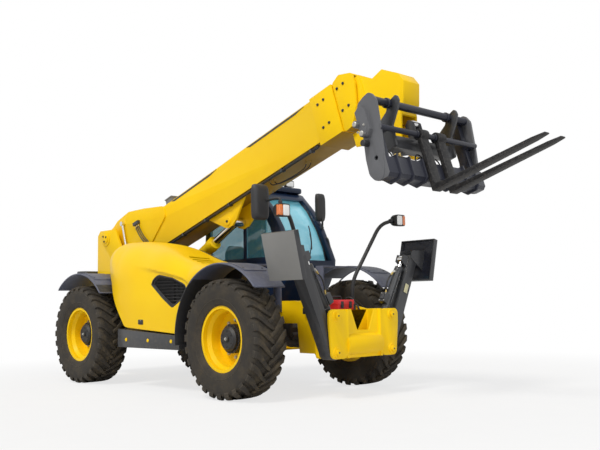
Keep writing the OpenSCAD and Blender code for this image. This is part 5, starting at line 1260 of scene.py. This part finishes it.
def front_fittings():
    """Pin ends, the box's latches and handle, and the hose loops beside it."""
    shape = Shape()
    ahead = (1, 0, 0)
    for s in (1, -1):
        for pin in (LEG_PIN, STAB_BASE):
            y, z = s * pin.y, pin.z
            shape.turned(disc(0.034, 0.004, 0.006, 0.030), (BRACKET_FACE, y, z), ahead, 28, 1)
            shape.turned([(0, 0.010), (0.003, 0.008)], (BRACKET_FACE + 0.005, y, z), ahead, 14, 2)
    for y in (-0.062, 0.062):
        shape.loft("x", (y, BOX_TOP - 0.052), [(BOX_FACE - 0.008, 0.021, 0.036, 6),
                                               (BOX_FACE + 0.004, 0.020, 0.035, 6)])
        shape.loft("x", (y, BOX_TOP - 0.064), [(BOX_FACE + 0.002, 0.012, 0.018, 5),
                                               (BOX_FACE + 0.010, 0.010, 0.015, 5)])
    foot, grip = BOX_TOP - 0.004, BOX_TOP + 0.034
    handle = [(BOX_FACE - 0.144, y, z) for y, z in ((-0.07, foot), (-0.07, grip), (0.07, grip), (0.07, foot))]
    shape.pipe(handle, 0.028, 0.009, 12)
    shape.make("front_trim", "chassis", PLASTIC, YELLOW, IRON, round_edge=0)
    loops = (("a", 0.200, 2.130, 0.190, 0.430), ("b", 0.235, 2.110, 0.170, 0.475),
             ("c", 0.270, 2.140, 0.220, 0.400))
    for name, y, x, reach, lift in loops:
        path = arch((x, y, FRONT_FLOOR), (x - reach, y, FRONT_FLOOR), lift)
        hose(GROUND, "front_hose_" + name, "chassis", path, 0.009)


def leg_fittings():
    """A valve block, its elbow and hose on each stabiliser cylinder, and a blank plate on the left leg."""
    rod = (STAB_EYE - STAB_BASE).normalized()
    for side, s in SIDES:
        along = Vector((0, s * rod.y, rod.z))
        inner = Vector((0, -s * along.z, s * along.y))
        place = Matrix((Vector((1, 0, 0)), inner, along)).transposed().to_4x4()
        place.translation = Vector((HOME + STAB_BASE.x, s * STAB_BASE.y, STAB_BASE.z))
        shape = Shape(place)
        shape.box((-0.040, 0.036, 0.105), (0.040, 0.098, 0.215))
        shape.box((-0.026, 0.092, 0.130), (0.026, 0.112, 0.190))
        for x in (-0.030, 0.030):
            for z in (0.118, 0.202):
                shape.bolt((x, 0.098, z), (0, 1, 0), 0.006, 1)
        shape.pipe([(0, 0.040, 0.500), (0, 0.064, 0.500), (0, 0.068, 0.470)], 0.016, 0.011, 12, 1)
        shape.turned(disc(0.018, 0.018, 0.020, 0.014), (0, 0.040, 0.500), (0, 1, 0), 6, 1)
        for z, profile in ((0.530, disc(0.047, 0.024, 0.028, 0.043)),
                           (0.080, disc(0.047, 0.016, 0.018, 0.044))):
            shape.turned(profile, (0, 0, z), UP, 36)
        for z in (0.270, 0.420):
            shape.box((0.034, -0.012, z), (0.056, 0.012, z + 0.022))
        feed = [(0.030, 0, 0.110), (0.052, 0, 0.125), (0.052, 0, 0.500), (0.034, 0, 0.515)]
        shape.pipe(feed, 0.02, 0.006, 10)
        shape.make("leg_valve_" + side, "stab_barrel_" + side, BLACK, ZINC, round_edge=0.002)
        way = [(0, 0.068, 0.474), (0, 0.080, 0.440), (0, 0.098, 0.390), (0, 0.102, 0.340), (0, 0.090, 0.280),
               (0, 0.068, 0.213)]
        hose(place, "leg_hose_" + side, "stab_barrel_" + side, smooth_path(way, 5), 0.008)
    plate = Shape()
    up = Vector((math.sin(LEG_LEAN), math.cos(LEG_LEAN)))
    beside = Vector((up.y, -up.x))
    spot = LEG_PIN.yz + up * 0.70
    corners = ((-0.05, -0.028), (0.05, -0.028), (0.05, 0.028), (-0.05, 0.028))
    plate.slab([spot + up * a + beside * b for a, b in corners], LEG_FACE, LEG_FACE + 0.0028, "x")
    plate.make("leg_plate", "leg_left", PLATE, round_edge=0.0006)


def carriage_fittings():
    """Lock pins, bar collars, and the two small valve groups with their hoses on the lower box."""
    shape = Shape(BOOM)
    top_collar = [(-0.013, 0.046), (-0.011, 0.050), (0.011, 0.050), (0.013, 0.046)]
    low_collar = [(-0.010, 0.033), (-0.008, 0.037), (0.008, 0.037), (0.010, 0.033)]
    for s in (1, -1):
        out = (0, s, 0)
        for u, w in ((5.296, -0.947), (5.347, -1.065)):
            shape.turned(disc(0.025, 0.012, 0.016, 0.020), (u, s * 0.823, w), out, 24)
            shape.tube([(u - 0.034, s * 0.816, w + 0.012), (u + 0.034, s * 0.816, w - 0.012)], 0.005, 8)
        for u, w in ((5.285, -1.020), (5.372, -0.985)):
            shape.bolt((u, s * 0.797, w), out, 0.010)
        shape.turned(disc(0.030, 0.070, 0.074, 0.024), (5.325, s * 0.752, -1.150), out, 24, 2)
        for y in (0.404, 0.516):
            shape.turned(top_collar, (5.480, s * y, -0.768), (0, 1, 0), 32, 3)
        for y in (0.060, 0.212):
            shape.turned(low_collar, (5.500, s * y, -1.059), (0, 1, 0), 28, 3)
    fitting = [(0, 0.013), (0.018, 0.013), (0.020, 0.009), (0.030, 0.009), (0.032, 0.014), (0.050, 0.014),
               (0.052, 0.010)]
    elbow = [(0, 0.012), (0.020, 0.012), (0.022, 0.016), (0.040, 0.016)]
    for y0, count in ((-0.420, 3), (0.010, 4)):
        shape.box((5.340, y0 - 0.068, -1.342), (5.428, y0 + 0.068, -1.288), 2)
        for k in range(count):
            y = y0 + (k - (count - 1) / 2) * 0.034
            shape.turned(fitting, (5.372 + 0.026 * (k % 2), y, -1.289), UP, 6, 1)
        for s in (1, -1):
            shape.turned(elbow, (5.384, y0 + s * 0.066, -1.315), (0, s, 0), 6, 1)
    shape.make("carriage_trim", "carriage", ZINC, BRASS, PLASTIC, NAVY, round_edge=0.0015)
    loops = (("a", 5.372, -0.505, -0.627), ("b", 5.372, 0.095, 0.217), ("c", 5.398, -0.075, -0.197))
    for name, u, y, end in loops:
        path = arch((u, end, CARRIAGE_FLOOR), (u, y, CARRIAGE_FLOOR), 0.050)
        hose(BOOM, "carriage_hose_" + name, "carriage", path, 0.0075)


# Boom, fenders and rear

TOWER_PIN = joint_spot("boom_lift")
LIFT_EYE = (2.475, -0.725)
FENDER_PANEL = (0.785, 0.775)
FENDER_LIP = 0.773
FENDER_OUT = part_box("front_fenders")[1].y - 0.004
SILL_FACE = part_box("side_sill")[0].y
TAIL_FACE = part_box("counterweight")[0].x - HOME


def boom_hoses():
    """Three hoses down the boom's ear, and two slack ones under the boom."""
    down = [(0.662, -0.241, -0.063), (0.674, -0.243, -0.100), (0.715, -0.246, -0.200),
            (0.770, -0.246, -0.300), (0.835, -0.244, -0.385), (0.878, -0.241, -0.451)]
    for name, step in (("a", 0), ("b", 0.036), ("c", 0.072)):
        path = smooth_path([(u + step, y, w) for u, y, w in down], 5)
        hose(BOOM, "lift_hose_" + name, "boom", path, 0.007)
    slack = [(3.300, -0.549), (3.303, -0.580), (3.340, -0.618), (3.450, -0.634), (3.600, -0.638),
             (3.720, -0.632), (3.813, -0.616), (3.850, -0.580), (3.853, -0.549)]
    for k, name in enumerate("ab"):
        way = [(u + 0.03 * k, -0.095 + 0.045 * k + 0.14 * (u - 3.3), w + 0.006 * k) for u, w in slack]
        hose(BOOM, "boom_hose_" + name, "boom", smooth_path(way, 4), 0.006)


def boom_fittings():
    """Wear-pad bolts, pin keepers, edge strips, the sensor box, and the hoses and pipes of the boom."""
    outer, middle_part, tower = Shape(BOOM), Shape(BOOM), Shape()
    pads = ((outer, 0.216, ((4.40, -0.155), (4.40, -0.430))),
            (middle_part, 0.200, ((4.70, -0.120), (4.70, -0.380))))
    for s in (1, -1):
        out = (0, s, 0)
        for shape, face, spots in pads:
            for u, w in spots:
                for k in (0, 1):
                    shape.bolt((u + 0.095 * k, s * face, w + 0.012 * k), out, 0.013)
        u, w = LIFT_EYE
        outer.turned(disc(0.052, 0.010, 0.013, 0.048), (u, s * 0.135, w), out, 32, 1)
        outer.bolt((u, s * 0.148, w), out, 0.014)
        x, z = TOWER_PIN.xz
        tower.turned(disc(0.075, 0.010, 0.013, 0.070), (x, s * 0.332, z), out, 40, 1)
        for a in turns(3):
            tower.bolt((x + 0.045 * math.cos(a + 0.4), s * 0.345, z + 0.045 * math.sin(a + 0.4)), out, 0.012)
        for first, last in ((1.52, 2.54), (3.15, 4.19)):
            strip = [(first, -0.060), (first + 0.07, -0.082), (last - 0.16, -0.084), (last, -0.062)]
            outer.slab(strip, s * 0.1995, s * 0.2025, "y", 2)
            outer.tube([(first + (last - first) * k / 6, s * 0.2005, -0.0565) for k in range(7)], 0.004, 8, 1)
    outer.box((0.635, -0.262, -0.062), (0.760, -0.214, -0.018), 2)
    outer.box((0.850, -0.262, -0.500), (0.975, -0.196, -0.452), 2)
    boom_hoses()
    boom_pipes(outer)
    sensor_box(outer)
    # The bolt heads on the boom and its nose are dark cast iron as painted shade, standing for bolt heads in
    # shade.
    outer.make("boom_bolts", "boom", IRON, YELLOW, BLACK, PAD, round_edge=0)
    middle_part.make("nose_bolts", "boom_mid", IRON, round_edge=0)
    tower.make("pivot_keepers", "chassis", IRON, YELLOW, round_edge=0)


def boom_pipes(outer):
    """Two pipes under the boom, with their clamps."""
    for y in (-0.152, -0.178):
        feed = [(0.93, y, -0.535), (0.93, y, -0.566), (4.22, y, -0.566), (4.22, y, -0.535)]
        outer.pipe(feed, 0.03, 0.010, 12, 2)
    for k in range(7):
        u = 1.10 + 0.50 * k
        outer.box((u, -0.196, -0.582), (u + 0.030, -0.134, -0.546), 2)
        outer.bolt((u + 0.015, -0.165, -0.582), (0, 0, -1), 0.007)


def sensor_box(outer):
    """A small box with a lid, its foot and its cable on top of the boom."""
    outer.box((1.330, -0.150, -0.030), (1.470, -0.050, 0.040), 3)
    outer.box((1.322, -0.158, 0.036), (1.478, -0.042, 0.050), 3)
    outer.box((1.350, -0.140, -0.060), (1.450, -0.060, -0.028), 2)
    outer.pipe([(1.335, -0.10, 0.0), (1.27, -0.10, 0.0), (1.24, -0.10, -0.05)], 0.03, 0.008, 10, 2)


def around(x, radius, a):
    """The place, in side view, at an angle and a distance from an axle at x."""
    return x + radius * math.cos(a), AXLE_Z + radius * math.sin(a)


def fender_fittings():
    """A raised panel, four bolts and a lip on each fender, and three yellow studs on the right sill."""
    shape = Shape()
    arc = [math.radians(62 + 4 * k) for k in range(15)]
    lip = [math.radians(42.5 + 4.4 * k) for k in range(21)]
    stud = [(0, 0.022), (0.006, 0.020), (0.008, 0.013)]
    screw = [(0, 0.011), (0.003, 0.010), (0.005, 0.006)]
    for x in (FRONT_REACH, -FRONT_REACH):
        for s in (1, -1):
            top, under = FENDER_PANEL
            panel = [around(x, top, a) for a in arc] + [around(x, under, a) for a in reversed(arc)]
            shape.slab(panel, s * 0.80, s * 1.095)
            for a in (math.radians(66), math.radians(114)):
                out = (math.cos(a), 0, math.sin(a))
                for y in (0.82, 1.075):
                    shape.turned(screw, SEATS["y"](around(x, top, a), s * y), out, 14, 1)
            shape.tube([SEATS["y"](around(x, FENDER_LIP, a), s * FENDER_OUT) for a in lip], 0.009, 10)
            front = around(x, FENDER_LIP, lip[0])
            shape.tube([SEATS["y"](front, s * y) for y in (0.745, 0.94, FENDER_OUT)], 0.009, 10)
    for k in range(3):
        shape.turned(stud, (-0.43 + 0.47 * k, SILL_FACE, 0.573), (0, -1, 0), 20, 2)
    shape.make("fender_trim", "chassis", SLATE, PLASTIC, YELLOW, round_edge=0.002)


def rear_fittings():
    """Tail lamps, blank plate and bolts on the counterweight."""
    shape = Shape()
    behind = (-1, 0, 0)
    for s in (1, -1):
        y = s * 0.44
        shape.loft("x", (y, 1.335), [(TAIL_FACE + 0.005, 0.066, 0.092, 6),
                                     (TAIL_FACE - 0.024, 0.064, 0.090, 6)])
        for z, tall, crown, mark in ((1.366, 0.046, 0.034, 1), (1.284, 0.030, 0.020, 2)):
            shape.loft("x", (y, z), [(TAIL_FACE - 0.022, 0.054, tall, 7),
                                     (TAIL_FACE - 0.030, 0.052, tall - 0.002, 6),
                                     (TAIL_FACE - 0.035, 0.042, crown, 5)], mark)
        for z in (0.80, 1.10):
            shape.bolt((TAIL_FACE, s * 0.40, z), behind, 0.022, 3)
    shape.box((TAIL_FACE - 0.009, -0.26, 1.000), (TAIL_FACE + 0.002, 0.26, 1.120), 4)
    shape.box((TAIL_FACE - 0.030, -0.06, 1.128), (TAIL_FACE + 0.004, 0.06, 1.160))
    for y in (-0.23, 0.23):
        shape.bolt((TAIL_FACE - 0.009, y, 1.060), behind, 0.006, 3)
    shape.make("rear_trim", "chassis", PLASTIC, RUBY, AMBER, ZINC, PLATE, round_edge=0.002)


aim_camera()
light_studio()
lay_floor()
dress_nodes()
for corner, (x, s) in CORNERS.items():
    tyre(corner, x, s)
    wheel_bolts(corner, x, s)
engine_hood()
lamps()
mirror_heads()
seat()
screen_trim()
roof_hatch()
grab_rails()
dash_hood()
door_handle()
front_fittings()
leg_fittings()
carriage_fittings()
boom_fittings()
fender_fittings()
rear_fittings()

scene.view_settings.view_transform = "Standard"
